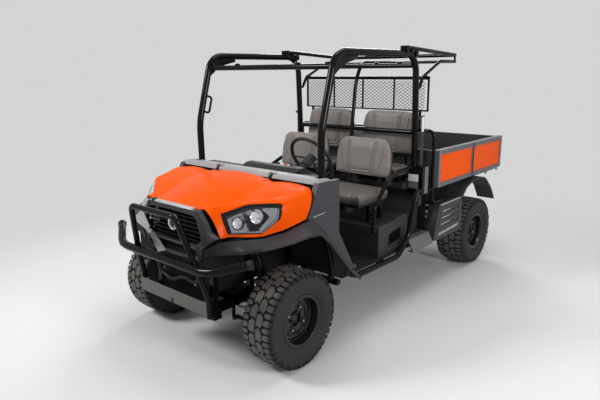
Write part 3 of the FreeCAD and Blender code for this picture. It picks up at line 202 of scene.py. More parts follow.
def add_bump(tree, height, distance, strength=1.0, normal=None):
    """The normal that a height gives, on top of another normal where there is one."""
    bump = tree.nodes.new("ShaderNodeBump")
    bump.inputs["Strength"].default_value = strength
    bump.inputs["Distance"].default_value = distance
    tree.links.new(height, bump.inputs["Height"])
    if normal:
        tree.links.new(normal, bump.inputs["Normal"])
    return bump.outputs["Normal"]


def paint_over(material, mask, colour):
    """Lay a second colour over a finish where a mask is 1."""
    tree = material.node_tree
    body = tree.nodes["Principled BSDF"]
    old = body.inputs["Base Color"].links[0].from_socket
    tree.links.new(mix_colour(tree, mask, old, colour), body.inputs["Base Color"])


def seen_rays(tree):
    """1 for a ray that shows what it meets: from the camera, or by way of a mirror or glass."""
    ray = tree.nodes.new("ShaderNodeLightPath")
    bounced = math_node(tree, "MAXIMUM", ray.outputs["Is Glossy Ray"], ray.outputs["Is Transmission Ray"])
    return math_node(tree, "MAXIMUM", ray.outputs["Is Camera Ray"], bounced)


def tone_group():
    """A colour that drifts a little over the surface, as real batches and handling leave it."""
    tree, start, end = new_group(
        "Drifting tone",
        [("Color", "NodeSocketColor", (0.5, 0.5, 0.5, 1)), ("Scale", "NodeSocketFloat", 3.0),
         ("Amount", "NodeSocketFloat", 0.12)],
        [("Color", "NodeSocketColor")])
    where = tree.nodes.new("ShaderNodeTexCoord")
    cloud = tree.nodes.new("ShaderNodeTexNoise")
    cloud.inputs["Detail"].default_value = 4
    tree.links.new(where.outputs["Object"], cloud.inputs["Vector"])
    tree.links.new(start.outputs["Scale"], cloud.inputs["Scale"])
    swing = math_node(tree, "SUBTRACT", cloud.outputs["Fac"], 0.5)
    swing = math_node(tree, "MULTIPLY", swing, start.outputs["Amount"])
    value = math_node(tree, "ADD", swing, 1.0)
    shade = tree.nodes.new("ShaderNodeHueSaturation")
    tree.links.new(start.outputs["Color"], shade.inputs["Color"])
    tree.links.new(value, shade.inputs["Value"])
    tree.links.new(shade.outputs["Color"], end.inputs["Color"])
    return tree


def grain_group():
    """The fine leathery grain of a moulding, a cover or a powder coat."""
    tree, start, end = new_group(
        "Moulded grain",
        [("Scale", "NodeSocketFloat", 400.0), ("Coarse", "NodeSocketFloat", 0.4)],
        [("Height", "NodeSocketFloat")])
    where = tree.nodes.new("ShaderNodeTexCoord")
    cells = tree.nodes.new("ShaderNodeTexVoronoi")
    cells.feature = "SMOOTH_F1"
    cloud = tree.nodes.new("ShaderNodeTexNoise")
    cloud.inputs["Detail"].default_value = 3
    for node in (cells, cloud):
        tree.links.new(where.outputs["Object"], node.inputs["Vector"])
    tree.links.new(start.outputs["Scale"], cells.inputs["Scale"])
    wide = math_node(tree, "MULTIPLY", start.outputs["Scale"], 0.3)
    tree.links.new(wide, cloud.inputs["Scale"])
    slow = math_node(tree, "MULTIPLY", cloud.outputs["Fac"], start.outputs["Coarse"])
    total = math_node(tree, "ADD", cells.outputs["Distance"], slow)
    tree.links.new(total, end.inputs["Height"])
    return tree


def edge_group():
    """Softened corners, with a mask for rubbed wear and for painted highlights along them."""
    tree, start, end = new_group(
        "Rubbed and highlit corners",
        [("Radius", "NodeSocketFloat", 0.003)],
        [("Mask", "NodeSocketFloat"), ("Normal", "NodeSocketVector")])
    soft = tree.nodes.new("ShaderNodeBevel")
    soft.samples = 4
    tree.links.new(start.outputs["Radius"], soft.inputs["Radius"])
    flat = tree.nodes.new("ShaderNodeNewGeometry")
    turn = tree.nodes.new("ShaderNodeVectorMath")
    turn.operation = "DOT_PRODUCT"
    tree.links.new(soft.outputs["Normal"], turn.inputs[0])
    tree.links.new(flat.outputs["Normal"], turn.inputs[1])
    lost = math_node(tree, "SUBTRACT", 1.0, turn.outputs["Value"])
    mask = math_node(tree, "MULTIPLY", lost, 6.0, clamp=True)
    tree.links.new(mask, end.inputs["Mask"])
    tree.links.new(soft.outputs["Normal"], end.inputs["Normal"])
    return tree


def weave_group():
    """The ribs of woven webbing."""
    tree, start, end = new_group(
        "Webbing ribs", [("Scale", "NodeSocketFloat", 500.0)], [("Height", "NodeSocketFloat")])
    where = tree.nodes.new("ShaderNodeTexCoord")
    ribs = tree.nodes.new("ShaderNodeTexWave")
    ribs.bands_direction = "Z"
    rows = tree.nodes.new("ShaderNodeTexWave")
    rows.bands_direction = "Y"
    for node in (ribs, rows):
        tree.links.new(where.outputs["Object"], node.inputs["Vector"])
        tree.links.new(start.outputs["Scale"], node.inputs["Scale"])
    both = math_node(tree, "MULTIPLY", ribs.outputs["Fac"], rows.outputs["Fac"])
    tree.links.new(both, end.inputs["Height"])
    return tree


GROUPS = {}
FINISHES = {}


def place_group(tree, group, **values):
    """Use a node group in a material, with its own values."""
    node = tree.nodes.new("ShaderNodeGroup")
    node.node_tree = GROUPS[group]
    for name, value in values.items():
        socket = node.inputs[name.replace("_", " ")]
        if isinstance(value, bpy.types.NodeSocket):
            tree.links.new(value, socket)
        else:
            socket.default_value = value
    return node


def finish(name, colour, rough, metal=0.0, grain=None, tone=0.12, tone_scale=3.0, corner=0.0,
           edge_wear_and_highlight=None, coat=0.0, coat_rough=0.1, rough_swing=0.1, sheen=0.0, specular=0.5):
    """A surface with drifting colour, its own grain, softened corners, and paler edges for rubbed wear and
    painted highlight.
    """
    material = bpy.data.materials.new(name)
    material.use_nodes = True
    tree = material.node_tree
    body = tree.nodes["Principled BSDF"]
    body.inputs["Metallic"].default_value = metal
    body.inputs["Coat Weight"].default_value = coat
    body.inputs["Coat Roughness"].default_value = coat_rough
    body.inputs["Sheen Weight"].default_value = sheen
    body.inputs["Specular IOR Level"].default_value = specular
    drift = place_group(tree, "tone", Color=(*colour, 1), Scale=tone_scale, Amount=tone)
    shade = drift.outputs["Color"]
    normal = None
    if corner:
        edges = place_group(tree, "edges", Radius=corner)
        normal = edges.outputs["Normal"]
        # The edges take the paler colour: partly rubbed wear, partly painted highlight.
        if edge_wear_and_highlight:
            shade = mix_colour(tree, edges.outputs["Mask"], shade, edge_wear_and_highlight)
    if grain:
        scale, depth = grain
        bumps = place_group(tree, "grain", Scale=scale)
        normal = add_bump(tree, bumps.outputs["Height"], depth, 0.6, normal)
    if normal:
        tree.links.new(normal, body.inputs["Normal"])
    tree.links.new(shade, body.inputs["Base Color"])
    where = tree.nodes.new("ShaderNodeTexCoord")
    patches = tree.nodes.new("ShaderNodeTexNoise")
    patches.inputs["Scale"].default_value = 9
    patches.inputs["Detail"].default_value = 3
    tree.links.new(where.outputs["Object"], patches.inputs["Vector"])
    swing = math_node(tree, "MULTIPLY", patches.outputs["Fac"], rough_swing)
    swing = math_node(tree, "ADD", swing, rough - rough_swing / 2, clamp=True)
    tree.links.new(swing, body.inputs["Roughness"])
    FINISHES[name] = material
    return material


def webbing(name, colour):
    """Woven belt."""
    material = finish(name, colour, 0.85)
    tree = material.node_tree
    ribs = place_group(tree, "weave", Scale=260.0)
    normal = add_bump(tree, ribs.outputs["Height"], 0.0006)
    tree.links.new(normal, tree.nodes["Principled BSDF"].inputs["Normal"])


def clear_lens(name, tint, rough):
    """Clear plastic, with the low index that lets a thin closed lens look thin."""
    material = bpy.data.materials.new(name)
    material.use_nodes = True
    body = material.node_tree.nodes["Principled BSDF"]
    body.inputs["Base Color"].default_value = (*tint, 1)
    body.inputs["Roughness"].default_value = rough
    body.inputs["Transmission Weight"].default_value = 1.0
    body.inputs["IOR"].default_value = 1.25
    FINISHES[name] = material


def bed_paint(name, inside, rails):
    """Black liner inside the bed, paler paint on its outer rails and posts."""
    outer_x, rail_z = 0.6995, 0.8795
    material = finish(name, inside, 0.55, grain=(260, 0.0006), corner=0.003, edge_wear_and_highlight=(0.12, 0.12, 0.12))
    tree = material.node_tree
    axes = object_axes(tree)
    side = math_node(tree, "GREATER_THAN", math_node(tree, "ABSOLUTE", axes["X"]), outer_x)
    high = math_node(tree, "GREATER_THAN", axes["Z"], rail_z)
    paint_over(material, math_node(tree, "MULTIPLY", side, high), rails)


def tyre_rubber(name):
    """Rubber with dark voids between the blocks as painted shade, block tops paler from wear and from painted
    light, and rings moulded in its side.
    """
    worn_lit_from, side_to = 0.3085, 0.292
    # The dark base colour stands as painted shade in the voids between the blocks.
    material = finish(name, (0.0095, 0.0095, 0.0098), 0.68, tone=0.35, tone_scale=6, rough_swing=0.15,
                      specular=0.25, corner=0.002, edge_wear_and_highlight=(0.06, 0.058, 0.057), grain=(450, 0.0004))
    tree = material.node_tree
    body = tree.nodes["Principled BSDF"]
    axes = object_axes(tree)
    rise = math_node(tree, "SUBTRACT", axes["Z"], AXLE_Z * 0.001)
    radius = None
    for axle in (AXLE_Y, AXLE_Y + WHEELBASE * 0.001):
        ahead = math_node(tree, "SUBTRACT", axes["Y"], axle)
        total = math_node(tree, "ADD", math_node(tree, "MULTIPLY", ahead, ahead),
                          math_node(tree, "MULTIPLY", rise, rise))
        away = math_node(tree, "SQRT", total)
        radius = away if radius is None else math_node(tree, "MINIMUM", radius, away)
    # Block tops paler: partly wear, partly painted light on the tops that face the lamps.
    top = math_node(tree, "MULTIPLY", math_node(tree, "SUBTRACT", radius, worn_lit_from), 160.0, clamp=True)
    side = math_node(tree, "MULTIPLY", math_node(tree, "SUBTRACT", side_to, radius), 80.0, clamp=True)
    worn_and_lit = math_node(tree, "MAXIMUM", math_node(tree, "MULTIPLY", top, 0.95),
                     math_node(tree, "MULTIPLY", side, 0.14))
    paint_over(material, worn_and_lit, (0.1, 0.093, 0.087))
    rings = math_node(tree, "SINE", math_node(tree, "MULTIPLY", radius, 700.0))
    grained = body.inputs["Normal"].links[0].from_socket
    ringed = add_bump(tree, math_node(tree, "MULTIPLY", rings, side), 0.0006, 0.4, grained)
    tree.links.new(ringed, body.inputs["Normal"])


def flare_moulding(name, grey):
    """The darker bumper cover in front, which runs into the grey of the wheel arch."""
    cover_to = AXLE_Y - 0.26
    material = finish(name, tuple(c * 0.62 for c in grey), 0.46, specular=0.22, grain=(700, 0.00035),
                      corner=0.004, edge_wear_and_highlight=tuple(c * 2.2 for c in grey))
    tree = material.node_tree
    front = math_node(tree, "SUBTRACT", cover_to, object_axes(tree)["Y"])
    paint_over(material, math_node(tree, "MULTIPLY", front, 400.0, clamp=True), (0.017, 0.0155, 0.015))


def make_finishes():
    """Every node group and finish, by name."""
    paint = bpy.context.scene.vehicle_paint
    GROUPS["tone"] = tone_group()
    GROUPS["grain"] = grain_group()
    GROUPS["edges"] = edge_group()
    GROUPS["weave"] = weave_group()
    orange, grey, trim, vinyl = (tuple(getattr(paint, k)) for k in ("orange", "grey", "trim", "vinyl"))
    finish("Orange paint", orange, 0.3, tone=0.05, corner=0.003, coat=0.035, coat_rough=0.04, specular=0.03,
           edge_wear_and_highlight=tuple(min(1, c * 1.2 + 0.03) for c in orange), rough_swing=0.06, grain=(90, 0.0001))
    finish("Moulded grey", grey, 0.5, specular=0.3, grain=(700, 0.00035), corner=0.004,
           edge_wear_and_highlight=tuple(c * 1.9 for c in grey))
    finish("Pale trim", trim, 0.5, grain=(700, 0.0003), corner=0.003, edge_wear_and_highlight=tuple(c * 1.3 for c in trim))
    finish("Black moulding", (0.014, 0.014, 0.0145), 0.46, specular=0.22, grain=(600, 0.0003), corner=0.003,
           edge_wear_and_highlight=(0.06, 0.06, 0.062))
    finish("Frame black", (0.004, 0.004, 0.0045), 0.13, specular=0.13, tone=0.2, rough_swing=0.08,
           grain=(300, 0.00006), corner=0.0015, edge_wear_and_highlight=(0.03, 0.03, 0.031))
    finish("Cast metal", (0.09, 0.09, 0.095), 0.6, metal=0.7, grain=(220, 0.0007), corner=0.003,
           edge_wear_and_highlight=(0.2, 0.2, 0.2))
    finish("Bright steel", (0.5, 0.5, 0.51), 0.3, metal=1.0, tone=0.1)
    finish("Plate steel", (0.1, 0.094, 0.087), 0.5, metal=0.2, tone=0.25, grain=(300, 0.0002), corner=0.002,
           edge_wear_and_highlight=(0.25, 0.24, 0.23))
    tyre_rubber("Tyre rubber")
    finish("Brow grey", (0.4, 0.4, 0.41), 0.4, grain=(700, 0.0002), corner=0.003, edge_wear_and_highlight=(0.6, 0.6, 0.61))
    flare_moulding("Flare moulding", grey)
    # Rim paint: its edges are painted far paler than the black, as painted highlights on the rings and lug
    # bosses.
    finish("Rim paint", (0.006, 0.006, 0.0068), 0.17, tone=0.05, corner=0.002, edge_wear_and_highlight=(0.1, 0.1, 0.104),
           specular=0.4, rough_swing=0.03)
    finish("Dark moulding", (0.026, 0.0265, 0.0295), 0.45, specular=0.3, grain=(700, 0.0003), corner=0.004,
           edge_wear_and_highlight=(0.09, 0.092, 0.098))
    finish("Rail paint", (0.15, 0.154, 0.172), 0.42, grain=(300, 0.0001), corner=0.002,
           edge_wear_and_highlight=(0.42, 0.43, 0.45))
    finish("Seat vinyl", vinyl, 0.5, grain=(420, 0.0004), tone=0.1, tone_scale=5, sheen=0.1)
    finish("Seat side", tuple(c * 0.3 for c in vinyl), 0.55, grain=(420, 0.0004))
    finish("Satin metal", (0.32, 0.325, 0.34), 0.36, metal=0.4, tone=0.08, corner=0.002,
           edge_wear_and_highlight=(0.6, 0.6, 0.62))
    finish("Lamp chrome", (0.85, 0.85, 0.86), 0.12, metal=1.0, tone=0.02, rough_swing=0.05)
    finish("Label white", (0.75, 0.75, 0.74), 0.45, tone=0.04)
    finish("Signal red", (0.55, 0.02, 0.015), 0.35, tone=0.06)
    finish("Splash liner", (0.006, 0.006, 0.0064), 0.7, specular=0.15, grain=(240, 0.0006))
    # Cushion tops: the seat vinyl made darker, as painted shade on the flat tops.
    finish("Shaded seat top", tuple(c * 0.62 for c in vinyl), 0.42, grain=(420, 0.0004), tone=0.1, tone_scale=5)
    finish("Lamp silver", (0.36, 0.365, 0.38), 0.24, metal=0.9, tone=0.06, corner=0.002,
           edge_wear_and_highlight=(0.75, 0.75, 0.77))
    finish("Label grey", (0.13, 0.127, 0.12), 0.6, tone=0.5, tone_scale=60)
    finish("Sill grey", (0.1, 0.1, 0.104), 0.5, grain=(500, 0.0003), corner=0.003, edge_wear_and_highlight=(0.2, 0.2, 0.204))
    webbing("Belt webbing", (0.03, 0.03, 0.031))
    clear_lens("Lamp lens", (0.96, 0.97, 1.0), 0.02)
    bed_paint("Bed paint", (0.02, 0.02, 0.02), (0.1, 0.103, 0.114))


CAD_FINISH = {
    "Orange paint": ("hood", "bed_panels"),
    "Flare moulding": ("front_fenders",),
    "Moulded grey": ("cowl_sides", "rear_fenders"),
    "Dark moulding": ("front_fascia", "front_seat_base", "rear_seat_base", "side_boxes"),
    "Pale trim": ("cowl_strip",),
    "Sill grey": ("sills",),
    "Black moulding": ("dashboard", "steering_gear", "steering_wheel", "controls", "floor_pan"),
    "Splash liner": ("grille", "radiator"),
    "Frame black": ("chassis_frame", "brush_guard", "cage_left", "cage_right", "cage_crossbars",
                    "roof_extension", "lower_loops", "grab_bars", "cab_screen", "seat_frames",
                    "suspension_arms", "dampers", "lift_barrel"),
    "Cast metal": ("knuckle_left", "knuckle_right", "rear_hub_carriers", "drive_line", "engine_block"),
    "Bright steel": ("tie_rod_left", "tie_rod_right", "steering_rack", "lift_rod"),
    "Plate steel": ("front_plate",),
    "Tyre rubber": ("tyre_front_left", "tyre_front_right", "tyre_rear_left", "tyre_rear_right"),
    "Rim paint": ("rim_front_left", "rim_front_right", "rim_rear_left", "rim_rear_right"),
    "Seat vinyl": ("front_cushions", "front_backrests", "rear_cushions", "rear_backrests"),
    "Lamp chrome": ("headlamps",),
    "Belt webbing": ("seat_belts",),
    "Bed paint": ("bed_tub", "tailgate"),
}


# Mesh tools

def new_object(name, mesh, finishes, body, angle=35):
    """Link a finished mesh, set its finishes, and let it ride on a body."""
    made = bpy.data.objects.new(name, mesh)
    bpy.context.scene.collection.objects.link(made)
    held = np.zeros(len(mesh.polygons), dtype=np.int32)
    mesh.polygons.foreach_get("material_index", held)
    mesh.materials.clear()
    for label in [finishes] if isinstance(finishes, str) else finishes:
        mesh.materials.append(FINISHES[label])
    mesh.polygons.foreach_set("material_index", np.minimum(held, len(mesh.materials) - 1))
    mesh.shade_smooth()
    mesh.set_sharp_from_angle(angle=math.radians(angle))
    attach(made, body)
    return made


def to_mesh(shape, name, merge=0.00001):
    """Close a drawn shape's doubled corners, turn its faces out and free it into a mesh."""
    bmesh.ops.remove_doubles(shape, verts=shape.verts, dist=merge)
    bmesh.ops.recalc_face_normals(shape, faces=shape.faces)
    mesh = bpy.data.meshes.new(name)
    shape.to_mesh(mesh)
    shape.free()
    return mesh


def add_prism(shape, points, low, high, axis="x", bevel=0.0, index=0):
    """A polygon pushed out between two places along an axis. Points are in millimetres."""
    def spot(a, b, c):
        return {"x": at(c, a, b), "y": at(a, c, b), "z": at(a, b, c)}[axis]
    rings = [[shape.verts.new(spot(a, b, c)) for a, b in points] for c in (low, high)]
    faces = [shape.faces.new(rings[0]), shape.faces.new(rings[1][::-1])]
    for i in range(len(points)):
        j = (i + 1) % len(points)
        faces.append(shape.faces.new((rings[0][i], rings[0][j], rings[1][j], rings[1][i])))
    for face in faces:
        face.material_index = index
    bmesh.ops.recalc_face_normals(shape, faces=faces)
    if bevel:
        edges = list({edge for face in faces for edge in face.edges})
        done = bmesh.ops.bevel(shape, geom=edges, offset=bevel * 0.001, segments=2, profile=0.6,
                               affect="EDGES", clamp_overlap=True)
        for face in done["faces"]:
            face.material_index = index
    return faces


def add_block(shape, x, y, z, bevel=2.0, index=0):
    """A box between a low and a high place along each axis, in millimetres."""
    add_prism(shape, [(y[0], z[0]), (y[1], z[0]), (y[1], z[1]), (y[0], z[1])], x[0], x[1], "x", bevel, index)


def add_rod(shape, start, end, radius, sides=16, index=0):
    """A round bar between two places."""
    start, end = Vector(start), Vector(end)
    way = end - start
    turn = way.to_track_quat("Z", "Y").to_matrix().to_4x4()
    place = Matrix.Translation((start + end) / 2) @ turn
    done = bmesh.ops.create_cone(shape, cap_ends=True, segments=sides, radius1=radius * 0.001,
                                 radius2=radius * 0.001, depth=way.length, matrix=place)
    for face in {face for vert in done["verts"] for face in vert.link_faces}:
        face.material_index = index


def add_path(shape, points, radius, sides=10, index=0, closed=False):
    """A round tube along places joined by straight runs, mitred at the corners."""
    points = [Vector(p) for p in points]
    count = len(points)
    rings = []
    upright = Vector((0.13, 0.31, 0.94)).normalized()
    for i, point in enumerate(points):
        before = points[i - 1] if i or closed else None
        after = points[(i + 1) % count] if i < count - 1 or closed else None
        one = (point - before).normalized() if before is not None else (after - point).normalized()
        two = (after - point).normalized() if after is not None else one
        way = (one + two).normalized()
        side = (upright - way * upright.dot(way)).normalized()
        third = way.cross(side)
        stretch = 1 / max(0.5, way.dot(one))
        bend = (two - one)
        ring = []
        for k in range(sides):
            angle = 2 * math.pi * k / sides
            offset = side * math.cos(angle) + third * math.sin(angle)
            if bend.length > 1e-4:
                across = bend.normalized()
                offset += across * (offset.dot(across) * (stretch - 1))
            ring.append(shape.verts.new(point + offset * radius * 0.001))
        rings.append(ring)
    pairs = list(zip(rings, rings[1:] + ([rings[0]] if closed else [])))
    faces = []
    for a, b in pairs if closed else pairs[:count - 1]:
        for k in range(sides):
            m = (k + 1) % sides
            faces.append(shape.faces.new((a[k], a[m], b[m], b[k])))
    if not closed:
        faces += [shape.faces.new(rings[0][::-1]), shape.faces.new(rings[-1])]
    for face in faces:
        face.material_index = index
    bmesh.ops.recalc_face_normals(shape, faces=faces)


def add_loft(shape, rings, index=0, closed=False):
    """Skin a run of rings, each with the same count of places, into a closed solid."""
    made = [[shape.verts.new(spot) for spot in ring] for ring in rings]
    faces = []
    for a, b in zip(made, made[1:] + made[:1] if closed else made[1:]):
        for i in range(len(a)):
            j = (i + 1) % len(a)
            faces.append(shape.faces.new((a[i], a[j], b[j], b[i])))
    if not closed:
        faces += [shape.faces.new(made[0][::-1]), shape.faces.new(made[-1])]
    for face in faces:
        face.material_index = index
    bmesh.ops.recalc_face_normals(shape, faces=faces)


def add_turned(shape, profile, centre, axis, steps=48, index=0):
    """Turn a closed profile of (radius, along), in millimetres, around an axis."""
    axis = Vector(axis).normalized()
    side = axis.orthogonal().normalized()
    third = axis.cross(side)
    rings = []
    for k in range(steps):
        angle = 2 * math.pi * k / steps
        out = side * math.cos(angle) + third * math.sin(angle)
        rings.append([centre + (out * radius + axis * along) * 0.001 for radius, along in profile])
    add_loft(shape, rings, index, closed=True)


def bead(radius, tube, along=0.0, count=10):
    """The round profile of a ring for add_turned."""
    turns = [2 * math.pi * k / count for k in range(count)]
    return [(radius + tube * math.cos(turn), along + tube * math.sin(turn)) for turn in turns]


def dome(radius, height, base=0.0, steps=6):
    """The profile of a round cap for add_turned, open to its axis by a hair."""
    hair = 0.3
    turns = [math.pi / 2 * k / steps for k in range(steps + 1)]
    curve = [(max(hair, radius * math.cos(turn)), base + height * math.sin(turn)) for turn in turns]
    return [(hair, base - 1.0), (radius, base - 1.0)] + curve


def add_heads(shape, places, way, radius, height, sides=6, index=0):
    """The round or six-sided heads of screws at (x, y, z) places, all facing one way."""
    for place in places:
        add_turned(shape, dome(radius, height), at(*place), way, sides, index)


def join_meshes(name, meshes):
    """One mesh from several, each face with the finish number it had."""
    shape = bmesh.new()
    for mesh in meshes:
        shape.from_mesh(mesh)
    joined = bpy.data.meshes.new(name)
    shape.to_mesh(joined)
    shape.free()
    return joined


def strand_seed(pitch, rise, strand, depth):
    """One diamond of an expanded mesh in the XZ plane, about a centre at zero, in metres."""
    shape = bmesh.new()
    points = [Vector((pitch / 2 * a, 0, rise * b)) for a, b in ((-1, 0), (0, 1), (1, 0), (0, -1))]
    across = Vector((0, depth / 2, 0))
    for a, b in zip(points, points[1:] + points[:1]):
        third = (b - a).normalized().cross(Vector((0, 1, 0))) * strand / 2
        add_loft(shape, [[p + across * i + third * j for i, j in ((-1, -1), (1, -1), (1, 1), (-1, 1))]
                         for p in (a, b)])
    return to_mesh(shape, "diamond", merge=0.0000001)


def finished(shape, name, finishes, body, angle=35):
    """Turn a drawn shape into a piece that rides on a body."""
    return new_object(name, to_mesh(shape, name), finishes, body, angle)


def rounded(points, radius, steps=5):
    """The same run of places with its corners rounded."""
    points = [Vector(p) for p in points]
    out = [points[0]]
    for before, corner, after in zip(points, points[1:], points[2:]):
        reach = min(radius * 0.001, (corner - before).length * 0.45, (after - corner).length * 0.45)
        start = corner + (before - corner).normalized() * reach
        end = corner + (after - corner).normalized() * reach
        for k in range(steps + 1):
            t = k / steps
            out.append(start.lerp(corner, t).lerp(corner.lerp(end, t), t))
    return out + [points[-1]]


def rounded_loop(corners, radius, steps=5):
    """A closed run of places with every corner rounded."""
    corners = list(corners)
    start = (corners[-1] + corners[0]) / 2
    return rounded([start] + corners + [start], radius, steps)[:-1]


def both_sides(shape):
    """Add the mirror image of everything on the vehicle's other side."""
    done = bmesh.ops.duplicate(shape, geom=shape.verts[:] + shape.edges[:] + shape.faces[:])
    fresh = [item for item in done["geom"] if isinstance(item, bmesh.types.BMVert)]
    for vert in fresh:
        vert.co.x = -vert.co.x
    bmesh.ops.reverse_faces(shape, faces=[f for f in done["geom"] if isinstance(f, bmesh.types.BMFace)])


def surface_of(node):
    """A search tree over a CAD node's mesh."""
    mesh = NODES[node].data
    return BVHTree.FromPolygons([v.co for v in mesh.vertices], [p.vertices for p in mesh.polygons])


# Geometry node trees

def new_geometry_tree(name, inputs):
    """A geometry node tree that takes a seed shape and its named sizes."""
    tree = bpy.data.node_groups.new(name, "GeometryNodeTree")
    tree.interface.new_socket("Geometry", in_out="INPUT", socket_type="NodeSocketGeometry")
    for label, kind, default in inputs:
        tree.interface.new_socket(label, in_out="INPUT", socket_type=kind).default_value = default
    tree.interface.new_socket("Geometry", in_out="OUTPUT", socket_type="NodeSocketGeometry")
    return tree, tree.nodes.new("NodeGroupInput"), tree.nodes.new("NodeGroupOutput")


def copy_to_points(tree, start, end, points, finish_name, turn=None):
    """Put the seed shape at every point, make the copies real and set their material."""
    spread = tree.nodes.new("GeometryNodeInstanceOnPoints")
    tree.links.new(points.outputs[0], spread.inputs["Points"])
    tree.links.new(start.outputs["Geometry"], spread.inputs["Instance"])
    if turn:
        tree.links.new(turn, spread.inputs["Rotation"])
    real = tree.nodes.new("GeometryNodeRealizeInstances")
    tree.links.new(spread.outputs[0], real.inputs[0])
    paint = tree.nodes.new("GeometryNodeSetMaterial")
    paint.inputs["Material"].default_value = FINISHES[finish_name]
    tree.links.new(real.outputs[0], paint.inputs["Geometry"])
    tree.links.new(paint.outputs[0], end.inputs[0])


def repeat_tree(name, finish_name):
    """Repeat a shape around a line along X through a centre."""
    tree, start, end = new_geometry_tree(
        name, [("Count", "NodeSocketInt", 12), ("Centre", "NodeSocketVector", (0, 0, 0))])
    points = tree.nodes.new("GeometryNodePoints")
    tree.links.new(start.outputs["Count"], points.inputs["Count"])
    tree.links.new(start.outputs["Centre"], points.inputs["Position"])
    index = tree.nodes.new("GeometryNodeInputIndex")
    step = math_node(tree, "DIVIDE", 2 * math.pi, start.outputs["Count"])
    turn = tree.nodes.new("ShaderNodeCombineXYZ")
    tree.links.new(math_node(tree, "MULTIPLY", index.outputs[0], step), turn.inputs["X"])
    copy_to_points(tree, start, end, points, finish_name, turn.outputs[0])
    return tree


def grid_tree(name, finish_name):
    """Repeat a shape over a grid in the XZ plane, every other row shifted half a step."""
    tree, start, end = new_geometry_tree(
        name, [("Columns", "NodeSocketInt", 10), ("Rows", "NodeSocketInt", 10),
               ("Step X", "NodeSocketFloat", 0.02), ("Step Z", "NodeSocketFloat", 0.01),
               ("Origin", "NodeSocketVector", (0, 0, 0))])
    points = tree.nodes.new("GeometryNodePoints")
    total = math_node(tree, "MULTIPLY", start.outputs["Columns"], start.outputs["Rows"])
    tree.links.new(total, points.inputs["Count"])
    index = tree.nodes.new("GeometryNodeInputIndex")
    row = math_node(tree, "FLOOR", math_node(tree, "DIVIDE", index.outputs[0], start.outputs["Columns"]))
    before = math_node(tree, "MULTIPLY", row, start.outputs["Columns"])
    column = math_node(tree, "SUBTRACT", index.outputs[0], before)
    odd = math_node(tree, "MULTIPLY", math_node(tree, "MODULO", row, 2.0), 0.5)
    spot = tree.nodes.new("ShaderNodeCombineXYZ")
    across = math_node(tree, "MULTIPLY", math_node(tree, "ADD", column, odd), start.outputs["Step X"])
    tree.links.new(across, spot.inputs["X"])
    tree.links.new(math_node(tree, "MULTIPLY", row, start.outputs["Step Z"]), spot.inputs["Z"])
    moved = tree.nodes.new("ShaderNodeVectorMath")
    moved.operation = "ADD"
    tree.links.new(spot.outputs[0], moved.inputs[0])
    tree.links.new(start.outputs["Origin"], moved.inputs[1])
    tree.links.new(moved.outputs[0], points.inputs["Position"])
    copy_to_points(tree, start, end, points, finish_name)
    return tree


def with_modifiers(item):
    """A plain mesh of an object as its modifiers leave it."""
    depsgraph = bpy.context.evaluated_depsgraph_get()
    depsgraph.update()
    return bpy.data.meshes.new_from_object(item.evaluated_get(depsgraph))


def grown(mesh, tree, **values):
    """The plain mesh that a geometry node tree makes from a seed mesh."""
    seed = bpy.data.objects.new("seed", mesh)
    bpy.context.scene.collection.objects.link(seed)
    step = seed.modifiers.new("grow", "NODES")
    step.node_group = tree
    for item in tree.interface.items_tree:
        key = getattr(item, "name", "").replace(" ", "_")
        if item.item_type == "SOCKET" and item.in_out == "INPUT" and key in values:
            step[item.identifier] = values[key]
    result = with_modifiers(seed)
    bpy.data.objects.remove(seed)
    return result


# Wheels

def carcass_profile(half):
    """Half section of a tyre without its blocks, from bead to crown, as (out, radius)."""
    return [
        (half - 24, 153.6), (half - 23.8, 171.6), (half - 19, 178), (half - 14, 181), (half - 12, 185),
        (half - 13.4, 188.5), (half - 8.6, 194), (half - 5, 197), (half - 3.6, 202), (half - 5.6, 205.5),
        (half - 2.6, 215), (half - 0.4, 224), (half + 1, 227), (half + 1, 233), (half - 1, 236.5),
        (half - 1.4, 248), (half - 3.5, 262), (half - 8, 278), (half - 15, 290), (half - 27, 299),
        (half * 0.5, 303), (0, CROWN),
    ]


def tyre_body(half, centre_x, y):
    """The carcass that carries the blocks, turned around its axle."""
    shape = bmesh.new()
    side = carcass_profile(half)
    ring = side + [(-a, r) for a, r in side[-2::-1]]
    steps = 120
    loops = []
    for k in range(steps):
        angle = 2 * math.pi * k / steps
        loops.append([
            shape.verts.new(at(centre_x + a, y + r * math.cos(angle), AXLE_Z + r * math.sin(angle)))
            for a, r in ring
        ])
    for k in range(steps):
        one, two = loops[k], loops[(k + 1) % steps]
        for i in range(len(ring)):
            j = (i + 1) % len(ring)
            shape.faces.new((one[i], one[j], two[j], two[i]))
    return to_mesh(shape, "carcass")


